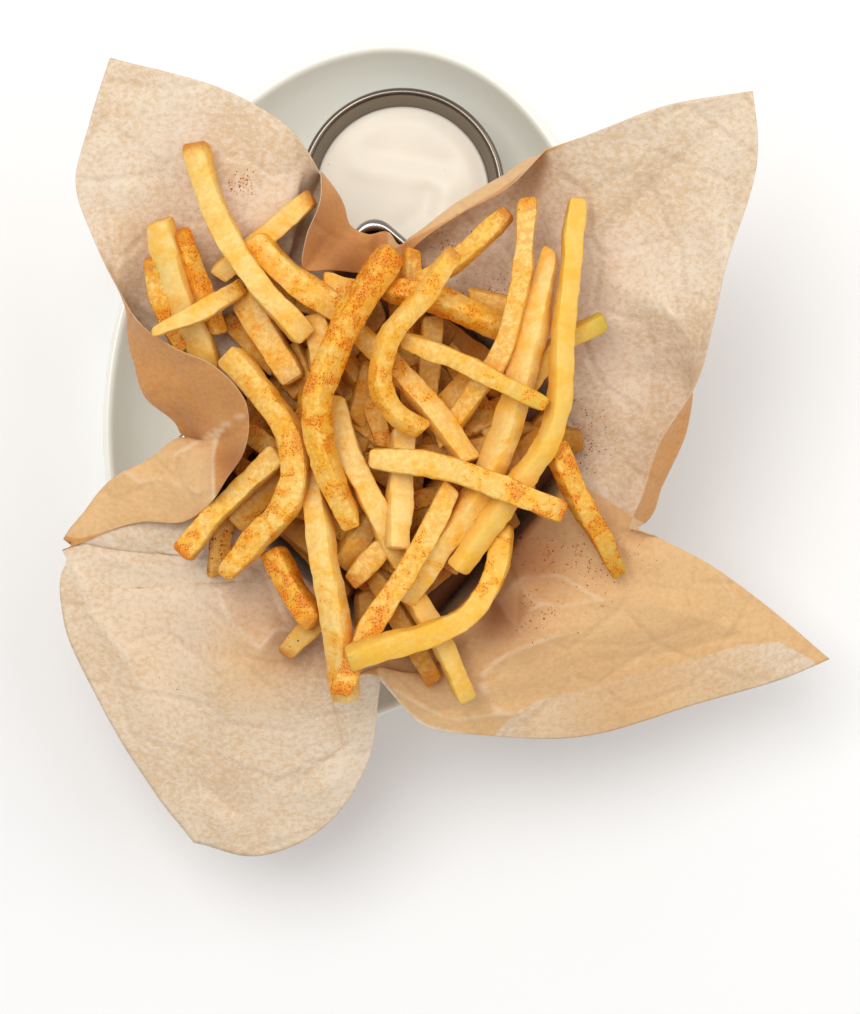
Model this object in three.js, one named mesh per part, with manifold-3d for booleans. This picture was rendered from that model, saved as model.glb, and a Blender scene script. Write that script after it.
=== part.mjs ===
// A portion of french fries, as served: thin-cut fries heaped in a square steel container lined
// with one sheet of brown greaseproof paper, beside a steel sauce cup of creamy dip, on an oval
// ceramic platter. Millimetres, +Z up. The origin is on the table, under the middle of the whole.
import * as THREE from "three";
import { mergeVertices } from "three/addons/utils/BufferGeometryUtils.js";
import Module from "manifold-3d";

// Oval platter, glazed ceramic, 254 x 183 mm, on a foot ring.
const PLATTER_AT = [-33.3, 21.6];
const PLATTER_HALF = [127, 91.3];
const PLATTER_TURN = 77.9;
const PLATTER_SIDES = 56;
const PLATTER_FLOOR = 6;
const FOOT_OUTER = 35;
const FOOT_INNER = 39;
const FOOT_RECESS = 2;

// Square container of pressed steel sheet, flared, with a rolled rim, 116 mm across the rim.
const TIN_AT = [-19.3, -4.2];
const TIN_TURN = 49.5;
const TIN_BASE_Z = 6.3;
const TIN_BASE_HALF = 32.5;
const TIN_RIM_HALF = 56.4;
const TIN_CORNER = 9.5;
const TIN_WALL = 1;
const TIN_ROLL = 1.5;
const TIN_BASE_BEND = 2;
const TIN_RIM_Z = 88;
const TIN_FLOOR_Z = TIN_BASE_Z + TIN_WALL;
const ROLL_Z = TIN_RIM_Z - TIN_ROLL;

// Round steel sauce cup, 75 mm across the rolled rim and 30 mm tall, and the dip in it.
const CUP_AT = [-16.1, 91];
const CUP_SIDES = 36;
const CUP_BASE_Z = 6.3;
const CUP_BASE_R = 25.2;
const CUP_ROLL_R = 35.9;
const CUP_ROLL = 1.5;
const CUP_BASE_BEND = 2;
const CUP_WALL = 0.8;
const CUP_RIM_Z = 36;
const DIP_Z = 27;
const DIP_R = 30.9;
const DIP_SWIRL = 1.1;
const DIP_SWIRL_TURNS = 2;
const DIP_SWIRL_PITCH = 4.5;

// Paper liner: one sheet pressed into the container, its four corners standing out over the rim.
const PAPER_HALF = 0.35;
const PAPER_GAP = 0.9;
const PAPER_CORNER = 20;
const PAPER_LIP_GAP = 0.8;
const CLEARANCE = 0.35;

// Where each rib of the sheet turns outside the rim, and where its free edge lies. A rib is
// [direction from the container's middle in degrees, turn x, y, z, edge x, y, z].
const PAPER_RIBS = [
  // pleat in the corner by the sauce cup, then the tall flap behind on the left
  [92, -20, 69, 90, -30, 55, 96],
  [97, -27, 68, 94, -39, 55, 105],
  [101, -33, 71, 95, -48, 55, 112],
  [110, -35, 77, 98, -47, 64, 117],
  [116, -38, 82, 106, -42, 78, 118],
  [119, -42, 87, 110, -42, 85, 117],
  [122, -48, 83, 108, -46, 92, 120],
  [124, -52, 70, 106, -52, 100, 118],
  [132, -62, 73, 107, -70, 111, 121],
  [143, -86, 70, 107, -110, 122, 127],
  [149, -94, 63, 106, -117, 101, 124],
  [154, -100, 57, 104, -122, 81, 120],
  [158, -103, 50, 102, -117, 65, 115],
  // its side curls in over the fries
  [162, -107, 43, 100, -110, 50, 112],
  [165, -108, 36, 98, -102, 37, 114],
  [168, -106, 25, 95, -91, 29, 119],
  [171, -102, 13, 94, -75, 21, 123],
  [175, -91, 5, 93, -66, 10, 123],
  [181, -83, -2, 93, -67, -6, 119],
  // left pleat, and the folded top of the front left flap
  [187, -90, -1, 94, -73, -15, 117],
  [193, -101, -8, 94, -78, -22, 109],
  [200, -114, -15, 90, -89, -29, 98],
  [207, -123, -26, 86, -104, -29, 91],
  [214, -129, -38, 80.5, -132.5, -39, 80],
  [217, -121, -43, 82, -131, -42, 79],
  // front left flap, creased just outside the rim
  [220, -118, -48, 82, -133, -47, 79],
  [226, -80, -53, 91, -133, -61, 77],
  [232, -75, -59, 94, -121, -92, 72],
  [238, -67, -71, 97, -101, -126, 66],
  [243, -59, -73, 95, -89, -142, 63],
  [249, -50, -74, 94, -67, -147, 61],
  [256, -42, -79, 93, -44, -137, 64],
  [263, -35, -83, 92, -28, -114, 70],
  [270, -28, -80, 92, -24, -92, 80],
  // front notch
  [275, -24, -79, 92, -23, -83, 91],
  [280, -18, -81, 93, -18, -89, 87],
  // front right flap, long and low, to its pointed tip
  [287, -9, -86, 93, -10, -98, 83],
  [295, 6, -83, 92, 15, -103, 77],
  [304, 22, -74, 92, 46, -104, 72],
  [312, 38, -66, 92, 85, -94, 64],
  [319, 57, -60, 90, 129, -81, 56],
  [324, 65, -55, 90, 136, -78, 54],
  [332, 65, -47, 90, 111, -58, 68],
  [342, 63, -39, 92, 89, -43, 80],
  [351, 59, -32, 92, 71, -34, 88],
  // right pleat and the turned-in side of the flap behind on the right
  [358, 67, -29, 94, 60, -31, 104],
  [364, 72, -17, 98, 64, -21, 110],
  [370, 80, 3, 103, 70, -2, 116],
  [376, 81, 20, 107, 81, 16, 119],
  // the flap itself, the tallest
  [380, 77, 31, 107, 87, 38, 120],
  [383, 69, 42, 107, 90, 52, 121],
  [390, 64, 61, 108, 100, 91, 130],
  [397, 57, 71, 110, 98, 110, 133],
  [406, 47, 68, 110, 72, 106, 131],
  [416, 34, 74, 107, 46, 97, 127],
  [421, 30, 92, 112, 32, 93, 119],
  [426, 19, 85, 112, 20, 81, 118],
  [434, 2, 76, 106, 4, 73, 111],
  [442, -12, 67, 98, -10, 64, 104],
  [448, -17, 65, 91, -15, 59, 97],
];

// The fries that show, largest first: [width, then x, y, z of each point that the fry bends through].
const FRIES = [
  [7.9, -83, 95, 123, -75, 70, 120, -65, 53, 119, -47, 32, 112],
  [8.7, -18, 60, 118, -35, 32, 123, -43, 7, 124, -39, -13, 118, -32, -29, 110],
  [8.6, -73, 27, 110, -61, 13, 114, -51, -4, 116, -52, -20, 114, -64, -35, 109, -75, -47, 105],
  [8.4, 34, 61, 116, 27, 31, 117, 20, 4, 114, 11, -18, 110, -3, -37, 108, -15, -55, 104],
  [6.8, 42, 77, 122, 38, 37, 121, 33, -2, 118, 19, -22, 113, 3, -45, 110],
  [6.4, 2, 59, 130, -6, 47, 129, -20, 29, 127, -22, 16, 123, -17, 6, 120, -8, 1, 116],
  [8.2, -46, -10, 107, -42, -35, 111, -38, -58, 111, -34, -89, 102],
  [7.8, 18, -30, 106, 16, -45, 108, 7, -59, 112, -6, -66, 116, -21, -70, 120, -33, -74, 121],
  [6.5, 26, 77, 123, 23, 47, 121, 17, 26, 118, 7, 11, 112, -3, -2, 106],
  [7.4, 1, -17, 112, -6, -32, 114, -14, -46, 114, -24, -61, 112, -36, -86, 112],
  [8, -26, -8, 116, -12, -9, 117, 2, -12, 117, 18, -18, 119, 38, -26, 117],
  [7.6, -38, 13, 106, -33, -6, 109, -26, -20, 110, -15, -44, 103],
  [6.2, -15, 31, 118, 0, 25, 122, 14, 18, 124, 32, 9, 124],
  [8.8, -95, 70, 118, -88, 43, 107, -80, 23, 100],
  [7.2, 35, -2, 112, 44, -22, 105, 52, -35, 100, 58, -47, 97],
  [7.3, -56, -6, 110, -78, -27, 106, -89, -40, 104],
  [7.4, -45, 78, 116, -63, 64, 108, -77, 53, 105],
  [8.6, -65, 65, 114, -52, 52, 114, -34, 40, 111],
  [7.6, -15, 2, 106, -16, -19, 110, -17, -38, 113],
  [6, -88, 67, 117, -82, 48, 108, -77, 34, 102],
  [6, 20, 73, 118, 2, 57, 114, -10, 50, 110],
  [7, -13, -52, 102, -3, -68, 104, 7, -89, 101],
  [7.6, -21, 48, 114, -3, 44, 114, 18, 35, 111],
  [7.8, -18, 23, 110, -6, 9, 112, 7, -9, 110],
  [5.6, -98, 58, 114, -96, 45, 109, -89, 28, 104],
  [9.2, -69, 47, 103, -51, 18, 106],
  [6.5, -97, 33, 121, -82, 40, 117, -69, 49, 107],
  [7, 52, 38, 111, 37, 30, 110, 25, 15, 109],
  [8, -45, 40, 106, -41, 25, 108, -44, 8, 104],
  [7, -63, 59, 101, -50, 36, 99],
  [7.2, -75, 40, 96, -57, 22, 99],
  [6, -52, 31, 98, -47, 15, 100, -50, -1, 100],
  [8.2, -59, -38, 102, -51, -53, 104, -44, -63, 106],
  [7.6, -25, 26, 96, -32, 4, 98],
  [7.6, -5, 40, 102, -7, 12, 100],
  [7, -75, -23, 96, -78, -47, 96],
  [6.6, -19, -57, 98, -4, -83, 97],
  [7.2, -37, -43, 98, -24, -26, 100],
  [7.4, -72, -30, 98, -55, -12, 98],
  [7.6, -6, 4, 101, 9, 20, 103],
  [7.4, -41, -59, 98, -55, -74, 99],
  [7.6, -33, -49, 103, -21, -37, 105],
  [7.2, -28, -52, 93, -27, -69, 92],
  [8.4, -42, 50, 107, -24, 45, 106],
  [7.2, -32, 36, 106, -14, 20, 105],
  [6.6, 7, 46, 106, 24, 42, 106],
  [7.4, -68, 2, 98, -56, -7, 100],
  [7.2, -26, -45, 97, -18, -57, 96],
  [6, -51, 45, 100, -38, 40, 102],
  [5.8, -12, 62, 104, -12, 45, 108],
];

// The heap's hidden core: [half width at this height, height].
const CORE_LEVELS = [
  [27, 9.4],
  [36, 30],
  [44, 60],
  [49, 82],
  [48, 94],
  [40, 99],
  [24, 103],
];
const CORE_LUMP = 1.6;
const FRY_STEP = 17;
const FRY_END = 0.82;

const wasm = await Module();
wasm.setup();

// A closed geometry from rings of points, with a fan to the middle of the first and the last ring.
function ringSolid(rings) {
  const count = rings[0].length;
  const points = rings.flat();
  const middleOf = (ring) => ring.reduce((sum, p) => sum.add(p), new THREE.Vector3()).divideScalar(count);
  const first = points.push(middleOf(rings[0])) - 1;
  const last = points.push(middleOf(rings.at(-1))) - 1;
  const index = [];
  for (let k = 0; k < count; k++) {
    const next = (k + 1) % count;
    index.push(first, next, k);
    const top = (rings.length - 1) * count;
    index.push(last, top + k, top + next);
    for (let r = 0; r + 1 < rings.length; r++) {
      const a = r * count;
      const b = a + count;
      index.push(a + k, a + next, b + next, a + k, b + next, b + k);
    }
  }
  return closedGeometry(points, index);
}

// A geometry from points and triangles, turned so that its faces point out.
function closedGeometry(points, index) {
  let volume = 0;
  const cross = new THREE.Vector3();
  for (let i = 0; i < index.length; i += 3) {
    cross.crossVectors(points[index[i + 1]], points[index[i + 2]]);
    volume += points[index[i]].dot(cross);
  }
  if (volume < 0) index.reverse();
  const geometry = new THREE.BufferGeometry().setFromPoints(points);
  geometry.setIndex(index);
  return geometry;
}

function turned(x, y, degrees, at) {
  const a = THREE.MathUtils.degToRad(degrees);
  const c = Math.cos(a);
  const s = Math.sin(a);
  return [at[0] + x * c - y * s, at[1] + x * s + y * c];
}

function ellipseRing(halfLong, halfShort, z) {
  const ring = [];
  for (let k = 0; k < PLATTER_SIDES; k++) {
    const a = (k / PLATTER_SIDES) * 2 * Math.PI;
    const [x, y] = turned(halfLong * Math.cos(a), halfShort * Math.sin(a), PLATTER_TURN, PLATTER_AT);
    ring.push(new THREE.Vector3(x, y, z));
  }
  return ring;
}

// The platter's section, from under its middle, round the lip, to the middle of its floor.
function platterGeometry() {
  const section = [
    [60, FOOT_RECESS],
    [FOOT_INNER, FOOT_RECESS],
    [FOOT_INNER, 0],
    [FOOT_OUTER, 0],
    [34, FOOT_RECESS],
    [26, 3],
    [12, 10],
    [3, 20],
    [0, 23.4],
    [2, 24.8],
    [4, 23.6],
    [9, 15.5],
    [17, 8.6],
    [25, PLATTER_FLOOR],
    [60, PLATTER_FLOOR],
  ];
  return ringSolid(
    section.map(([inset, z]) => ellipseRing(PLATTER_HALF[0] - inset, PLATTER_HALF[1] - inset, z)),
  );
}

// A point on a square with rounded corners, in the direction that the ray at `degrees` leaves it.
function onSquare(half, corner, degrees) {
  const a = THREE.MathUtils.degToRad(degrees - TIN_TURN);
  const dx = Math.cos(a);
  const dy = Math.sin(a);
  const core = half - corner;
  let reach = half / Math.max(Math.abs(dx), Math.abs(dy));
  if (Math.min(Math.abs(dx), Math.abs(dy)) * reach > core) {
    const along = core * (Math.abs(dx) + Math.abs(dy));
    reach = along + Math.sqrt(along * along - 2 * core * core + corner * corner);
  }
  return turned(dx * reach, dy * reach, TIN_TURN, TIN_AT);
}

// Directions round the container, closer together at its rounded corners.
function squareDirections(perSide) {
  const directions = [];
  for (let side = 0; side < 4; side++) {
    for (const d of perSide) directions.push(TIN_TURN + 90 * side + d);
  }
  return directions;
}
const TIN_DIRECTIONS = squareDirections([-36, 0, 36, 40.5, 45, 49.5]);

function squareRing(half, corner, z) {
  return TIN_DIRECTIONS.map((d) => {
    const [x, y] = onSquare(half, corner, d);
    return new THREE.Vector3(x, y, z);
  });
}

// Half the container's inside width at a height.
function insideHalf(z) {
  const bendZ = TIN_FLOOR_Z + TIN_BASE_BEND;
  const t = (z - bendZ) / (ROLL_Z - bendZ);
  return THREE.MathUtils.lerp(TIN_BASE_HALF - TIN_WALL, TIN_RIM_HALF - TIN_ROLL, t);
}

function tinGeometry() {
  const diagonal = TIN_ROLL * Math.SQRT1_2;
  const rings = [
    squareRing(TIN_BASE_HALF - TIN_BASE_BEND, TIN_CORNER - TIN_BASE_BEND, TIN_BASE_Z),
    squareRing(TIN_BASE_HALF, TIN_CORNER, TIN_BASE_Z + TIN_BASE_BEND),
    squareRing(TIN_RIM_HALF - 0.5, TIN_CORNER, ROLL_Z - TIN_ROLL),
    squareRing(TIN_RIM_HALF + diagonal, TIN_CORNER + diagonal, ROLL_Z - diagonal),
    squareRing(TIN_RIM_HALF + TIN_ROLL, TIN_CORNER + TIN_ROLL, ROLL_Z),
    squareRing(TIN_RIM_HALF + diagonal, TIN_CORNER + diagonal, ROLL_Z + diagonal),
    squareRing(TIN_RIM_HALF, TIN_CORNER, TIN_RIM_Z),
    squareRing(TIN_RIM_HALF - diagonal, TIN_CORNER - diagonal, ROLL_Z + diagonal),
    squareRing(TIN_RIM_HALF - TIN_ROLL, TIN_CORNER - TIN_ROLL, ROLL_Z),
    squareRing(TIN_BASE_HALF - TIN_WALL, TIN_CORNER - TIN_WALL, TIN_FLOOR_Z + TIN_BASE_BEND),
    squareRing(
      TIN_BASE_HALF - TIN_WALL - TIN_BASE_BEND, TIN_CORNER - TIN_WALL - TIN_BASE_BEND, TIN_FLOOR_Z,
    ),
  ];
  return ringSolid(rings);
}

function circleRing(radius, height) {
  const ring = [];
  for (let k = 0; k < CUP_SIDES; k++) {
    const a = (k / CUP_SIDES) * 2 * Math.PI;
    const z = typeof height === "function" ? height(a, radius) : height;
    ring.push(new THREE.Vector3(CUP_AT[0] + radius * Math.cos(a), CUP_AT[1] + radius * Math.sin(a), z));
  }
  return ring;
}

function cupGeometry() {
  const diagonal = CUP_ROLL * Math.SQRT1_2;
  const rollZ = CUP_RIM_Z - CUP_ROLL;
  return ringSolid([
    circleRing(CUP_BASE_R - CUP_BASE_BEND, CUP_BASE_Z),
    circleRing(CUP_BASE_R, CUP_BASE_Z + CUP_BASE_BEND),
    circleRing(CUP_ROLL_R - 0.7, rollZ - CUP_ROLL),
    circleRing(CUP_ROLL_R + diagonal, rollZ - diagonal),
    circleRing(CUP_ROLL_R + CUP_ROLL, rollZ),
    circleRing(CUP_ROLL_R + diagonal, rollZ + diagonal),
    circleRing(CUP_ROLL_R, CUP_RIM_Z),
    circleRing(CUP_ROLL_R - diagonal, rollZ + diagonal),
    circleRing(CUP_ROLL_R - CUP_ROLL, rollZ),
    circleRing(CUP_BASE_R - CUP_WALL, CUP_BASE_Z + CUP_WALL + CUP_BASE_BEND),
    circleRing(CUP_BASE_R - CUP_WALL - CUP_BASE_BEND, CUP_BASE_Z + CUP_WALL),
  ]);
}

// The dip fills the cup to 9 mm below its rim, with a soft spiral left by the spoon.
function dipGeometry() {
  const floorZ = CUP_BASE_Z + CUP_WALL + CLEARANCE;
  const swirl = (a, r) => {
    const fade = Math.min(1, (DIP_R - r) / 10);
    return DIP_Z + DIP_SWIRL * fade * Math.sin(DIP_SWIRL_TURNS * a - r / DIP_SWIRL_PITCH);
  };
  return ringSolid([
    circleRing(CUP_BASE_R - CUP_WALL - CUP_BASE_BEND - 0.5, floorZ),
    circleRing(CUP_BASE_R - CUP_WALL - 0.5, floorZ + CUP_BASE_BEND),
    circleRing(DIP_R, DIP_Z),
    circleRing(25, swirl),
    circleRing(17, swirl),
    circleRing(9, swirl),
  ]);
}

// The rings of the sheet, from the middle of the floor, up the wall and over the rim, to its edge.
function paperRings() {
  const floorZ = TIN_FLOOR_Z + PAPER_HALF + 0.4;
  const wall = (d, z) => {
    const [x, y] = onSquare(insideHalf(z) - PAPER_GAP, PAPER_CORNER, d);
    return new THREE.Vector3(x, y, z);
  };
  const ribs = PAPER_RIBS.map(([d, tx, ty, tz, ex, ey, ez]) => {
    const turn = new THREE.Vector3(tx, ty, tz);
    const edge = new THREE.Vector3(ex, ey, ez);
    const foot = onSquare(TIN_BASE_HALF - 6, TIN_CORNER - 2, d);
    const floor = new THREE.Vector3(foot[0], foot[1], floorZ);
    const under = wall(d, ROLL_Z - 6);
    const half = Math.max(...[0, 90, 180, 270].map((side) => {
      const a = THREE.MathUtils.degToRad(TIN_TURN + side);
      return (tx - TIN_AT[0]) * Math.cos(a) + (ty - TIN_AT[1]) * Math.sin(a);
    }));
    const lip = [];
    if (half > TIN_RIM_HALF) {
      const inner = onSquare(TIN_RIM_HALF - TIN_ROLL - PAPER_LIP_GAP, TIN_CORNER, d);
      const outer = onSquare(TIN_RIM_HALF + TIN_ROLL + PAPER_LIP_GAP, TIN_CORNER, d);
      lip.push(new THREE.Vector3(inner[0], inner[1], TIN_RIM_Z + 1));
      lip.push(new THREE.Vector3(outer[0], outer[1], TIN_RIM_Z + 1.6));
    } else {
      lip.push(under.clone().lerp(turn, 0.35), under.clone().lerp(turn, 0.7));
    }
    return [
      floor,
      wall(d, TIN_FLOOR_Z + 6),
      wall(d, 48),
      under,
      ...lip,
      turn,
      turn.clone().lerp(edge, 0.5),
      edge,
    ];
  });
  return ribs[0].map((_, ring) => ribs.map((rib) => rib[ring]));
}

// The sheet as a closed solid: its surface moved along its normals to either side.
function paperGeometry(half) {
  const rings = paperRings();
  const count = rings[0].length;
  const middle = new THREE.Vector3(TIN_AT[0], TIN_AT[1], rings[0][0].z);
  const points = [middle, ...rings.flat()];
  const index = [];
  for (let k = 0; k < count; k++) {
    const next = (k + 1) % count;
    index.push(0, 1 + k, 1 + next);
    for (let r = 0; r + 1 < rings.length; r++) {
      const a = 1 + r * count;
      const b = a + count;
      index.push(a + k, b + k, b + next, a + k, b + next, a + next);
    }
  }
  const surface = new THREE.BufferGeometry().setFromPoints(points);
  surface.setIndex(index);
  surface.computeVertexNormals();
  const normal = surface.getAttribute("normal");
  const shift = (p, i, by) => p.clone().addScaledVector(new THREE.Vector3().fromBufferAttribute(normal, i), by);
  const top = points.map((p, i) => shift(p, i, half));
  const bottom = points.map((p, i) => shift(p, i, -half));
  const n = points.length;
  const closed = [...index];
  for (let i = 0; i < index.length; i += 3) {
    closed.push(n + index[i], n + index[i + 2], n + index[i + 1]);
  }
  const last = 1 + (rings.length - 1) * count;
  for (let k = 0; k < count; k++) {
    const a = last + k;
    const b = last + ((k + 1) % count);
    closed.push(a, n + a, n + b, a, n + b, b);
  }
  return closedGeometry([...top, ...bottom], closed);
}

// One fry: a square stick along its bends, a little thinner at its ends.
function fryGeometry([width, ...numbers]) {
  const bends = [];
  for (let i = 0; i < numbers.length; i += 3) bends.push(new THREE.Vector3(...numbers.slice(i, i + 3)));
  const curve = new THREE.CatmullRomCurve3(bends, false, "centripetal");
  const steps = bends.length === 2 ? 2 : Math.ceil(curve.getLength() / FRY_STEP);
  const up = new THREE.Vector3(0, 0, 1);
  const rings = [];
  for (let k = 0; k <= steps; k++) {
    const t = k / steps;
    const at = curve.getPointAt(t);
    const tangent = curve.getTangentAt(t);
    const side = new THREE.Vector3().crossVectors(tangent, up).normalize();
    const over = new THREE.Vector3().crossVectors(side, tangent);
    const half = (width / 2) * (k === 0 || k === steps ? FRY_END : 1);
    rings.push([[1, 1], [-1, 1], [-1, -1], [1, -1]].map(([s, u]) =>
      at.clone().addScaledVector(side, s * half).addScaledVector(over, u * half)));
  }
  return ringSolid(rings);
}

function coreGeometry() {
  return ringSolid(CORE_LEVELS.map(([half, z], level) =>
    squareDirections([-30, 0, 30, 45]).map((d, k) => {
      const lump = CORE_LUMP * Math.sin(2.1 * k + 1.7 * level);
      const [x, y] = onSquare(half + lump, Math.min(half, TIN_CORNER + level * 4), d);
      return new THREE.Vector3(x, y, z);
    })));
}

function toSolid(geometry) {
  geometry.deleteAttribute("normal");
  geometry.deleteAttribute("uv");
  const merged = mergeVertices(geometry, 1e-4);
  return new wasm.Manifold(new wasm.Mesh({
    numProp: 3,
    vertProperties: merged.getAttribute("position").array,
    triVerts: new Uint32Array(merged.index.array),
  }));
}

function toGeometry(solid) {
  const mesh = solid.getMesh();
  const geometry = new THREE.BufferGeometry();
  geometry.setAttribute("position", new THREE.BufferAttribute(mesh.vertProperties, 3));
  geometry.setIndex(new THREE.BufferAttribute(mesh.triVerts, 1));
  return geometry;
}

// The heap: the fries that show, fused on the core, clear of the paper. Loose scraps are dropped.
function heapGeometry() {
  let heap = toSolid(coreGeometry());
  for (const fry of FRIES) heap = heap.add(toSolid(fryGeometry(fry)));
  heap = heap.subtract(toSolid(paperGeometry(PAPER_HALF + CLEARANCE)));
  const bodies = heap.decompose().sort((a, b) => b.volume() - a.volume());
  return toGeometry(bodies[0]);
}

const glaze = new THREE.MeshStandardMaterial({ color: 0xe3ded0, roughness: 0.25, metalness: 0 });
const steel = new THREE.MeshStandardMaterial({ color: 0xb8b5ae, roughness: 0.2, metalness: 1 });
const kraft = new THREE.MeshStandardMaterial({ color: 0xd9ab74, roughness: 0.8, metalness: 0, side: THREE.DoubleSide });
const potato = new THREE.MeshStandardMaterial({ color: 0xedc05c, roughness: 0.6, metalness: 0 });
const cream = new THREE.MeshStandardMaterial({ color: 0xf5ead0, roughness: 0.4, metalness: 0 });

const portion = new THREE.Group();
function addPiece(name, geometry, material) {
  const mesh = new THREE.Mesh(geometry, material);
  mesh.name = name;
  portion.add(mesh);
}

addPiece("platter", platterGeometry(), glaze);
addPiece("fry_tin", tinGeometry(), steel);
addPiece("paper_liner", paperGeometry(PAPER_HALF), kraft);
addPiece("fries", heapGeometry(), potato);
addPiece("dip_cup", cupGeometry(), steel);
addPiece("dip", dipGeometry(), cream);

export default portion;
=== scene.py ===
# French fries in a paper-lined steel container, on an oval platter beside a steel cup of creamy dip.
import math
import random

import bmesh
import bpy
from mathutils import Matrix, Vector, noise


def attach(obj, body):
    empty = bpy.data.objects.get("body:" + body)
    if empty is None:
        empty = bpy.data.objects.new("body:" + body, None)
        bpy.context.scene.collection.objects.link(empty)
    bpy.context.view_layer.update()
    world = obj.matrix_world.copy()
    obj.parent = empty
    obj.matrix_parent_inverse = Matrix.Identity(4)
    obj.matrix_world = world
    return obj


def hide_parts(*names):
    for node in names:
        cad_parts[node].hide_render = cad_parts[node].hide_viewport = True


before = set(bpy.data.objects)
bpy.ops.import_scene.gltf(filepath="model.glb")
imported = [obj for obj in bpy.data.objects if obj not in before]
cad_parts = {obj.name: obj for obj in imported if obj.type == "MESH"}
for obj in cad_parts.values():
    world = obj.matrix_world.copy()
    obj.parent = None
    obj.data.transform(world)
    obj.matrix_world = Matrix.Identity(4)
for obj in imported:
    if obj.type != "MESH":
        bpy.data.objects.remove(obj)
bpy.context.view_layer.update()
scene = bpy.context.scene
MM = 0.001


# Oval platter: thick white stoneware with a warm clear glaze, pressed in a mould, with a steep rim.
# It is one turned section, spun round and then drawn out to the oval. The foot ring is left bare.
PLATTER_AT = (-33.3, 21.6)
PLATTER_HALF = (127, 91.3)
PLATTER_TURN = 77.9
TURNED_R = 100
FLOOR_INSET = 60
FLOOR_R = TURNED_R - FLOOR_INSET
SPIN_STEPS = 160

# Its section from the middle of the underside round the rim to the middle of the floor: how far in
# from the rim, and how high.
PLATTER_SECTION = (
    (100, 2), (60, 2), (39.4, 2), (38.8, 0.2), (38, 0), (36, 0), (35.2, 0.2), (34, 2), (30, 2.4),
    (26, 3.2), (19, 6), (12, 10.2), (7, 14.6), (3, 19.8), (0.8, 22.2), (0.1, 23.5), (0.8, 24.6),
    (2.1, 24.8), (3.3, 24.3), (4.6, 22.2), (9, 15.6), (13, 11.6), (17, 8.8), (21, 7), (26, 6.1),
    (34, 6), (60, 6), (100, 6),
)


def leaning(step, other):
    """The slope of a curve over a step that joins another one: a long one beside it counts less."""
    if other.length < 1e-9:
        return step
    share = step.length / (step.length + other.length)
    return step * (1 - share) + other * (share * step.length / other.length)


def through(points, t):
    """The place at t, from 0 to len(points) - 1, on a smooth curve through the points."""
    k = min(int(t), len(points) - 2)
    u = t - k
    before, a, b, after = (Vector(points[max(0, min(len(points) - 1, k + i))]) for i in (-1, 0, 1, 2))
    leave, arrive = leaning(b - a, a - before), leaning(b - a, after - b)
    return (a * (1 - u) ** 2 * (1 + 2 * u) + b * u * u * (3 - 2 * u)
            + leave * u * (1 - u) ** 2 - arrive * u * u * (1 - u))


def smooth_section(points, per_span):
    """A section with per_span short steps between each two of its points."""
    count = (len(points) - 1) * per_span
    return [through(points, k / per_span) for k in range(count + 1)]


def spun(section):
    """A closed bmesh, spun round Z from a section of (radius, height) that starts and ends on the axis."""
    bm = bmesh.new()
    verts = [bm.verts.new((r * MM, 0, z * MM)) for r, z in section]
    edges = [bm.edges.new(pair) for pair in zip(verts, verts[1:])]
    bmesh.ops.spin(bm, geom=verts + edges, cent=(0, 0, 0), axis=(0, 0, 1), angle=math.tau,
                   steps=SPIN_STEPS, use_merge=True)
    bmesh.ops.remove_doubles(bm, verts=bm.verts, dist=1e-6)
    bmesh.ops.recalc_face_normals(bm, faces=bm.faces)
    return bm


def placed(bm, at, turn):
    """Turns a bmesh about Z and sets it at a place in the plan, in millimetres."""
    bmesh.ops.rotate(bm, verts=bm.verts, cent=(0, 0, 0), matrix=Matrix.Rotation(math.radians(turn), 3, "Z"))
    bmesh.ops.translate(bm, verts=bm.verts, vec=(at[0] * MM, at[1] * MM, 0))


def finished(name, bm, material, node):
    """Makes the bmesh a smooth piece on the body, standing for a CAD node."""
    mesh = bpy.data.meshes.new(name)
    for face in bm.faces:
        face.smooth = True
    bm.to_mesh(mesh)
    bm.free()
    mesh.materials.append(material)
    piece = bpy.data.objects.new(name, mesh)
    scene.collection.objects.link(piece)
    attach(piece, "root")
    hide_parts(node)
    return piece


def add(tree, kind, inputs=None, **settings):
    """Adds a node. Inputs are set by name or number: a socket is linked, and a value is written in."""
    node = tree.nodes.new("ShaderNode" + kind)
    for key, value in settings.items():
        setattr(node, key, value)
    for key, value in (inputs or {}).items():
        if isinstance(value, bpy.types.NodeSocket):
            tree.links.new(value, node.inputs[key])
        else:
            node.inputs[key].default_value = value
    return node


def colour(red, green, blue):
    """A colour given as the 0 to 255 values seen on a screen."""
    linear = [(c / 255 / 12.92) if c < 11 else ((c / 255 + 0.055) / 1.055) ** 2.4
              for c in (red, green, blue)]
    return (*linear, 1)


def mixed(tree, factor, a, b):
    """A colour that goes from a to b as the factor does from 0 to 1."""
    return add(tree, "Mix", {0: factor, 6: a, 7: b}, data_type="RGBA").outputs[2]


def ramped(tree, value, low, high, to_low=0.0, to_high=1.0):
    """The value's range from low to high, spread smoothly over another range."""
    node = add(tree, "MapRange", {0: value, 1: low, 2: high, 3: to_low, 4: to_high})
    node.interpolation_type = "SMOOTHSTEP"
    return node.outputs[0]


def joined(tree, operation, a, b):
    """Two values made one by a sum."""
    return add(tree, "Math", {0: a, 1: b}, operation=operation).outputs[0]


def in_millimetres(tree, stretch=(1, 1, 1)):
    """Object coordinates counted in millimetres, so that a noise scale of 1 is a millimetre."""
    place = add(tree, "TexCoord").outputs["Object"]
    scale = [1000 * s for s in stretch]
    return add(tree, "Mapping", {"Vector": place, "Scale": scale}).outputs[0]


def clouds(tree, place, scale, detail=3.0, roughness=0.5, distortion=0.0):
    """Cloudy noise."""
    inputs = {"Vector": place, "Scale": scale, "Detail": detail, "Roughness": roughness,
              "Distortion": distortion}
    return add(tree, "TexNoise", inputs).outputs[0]


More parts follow.
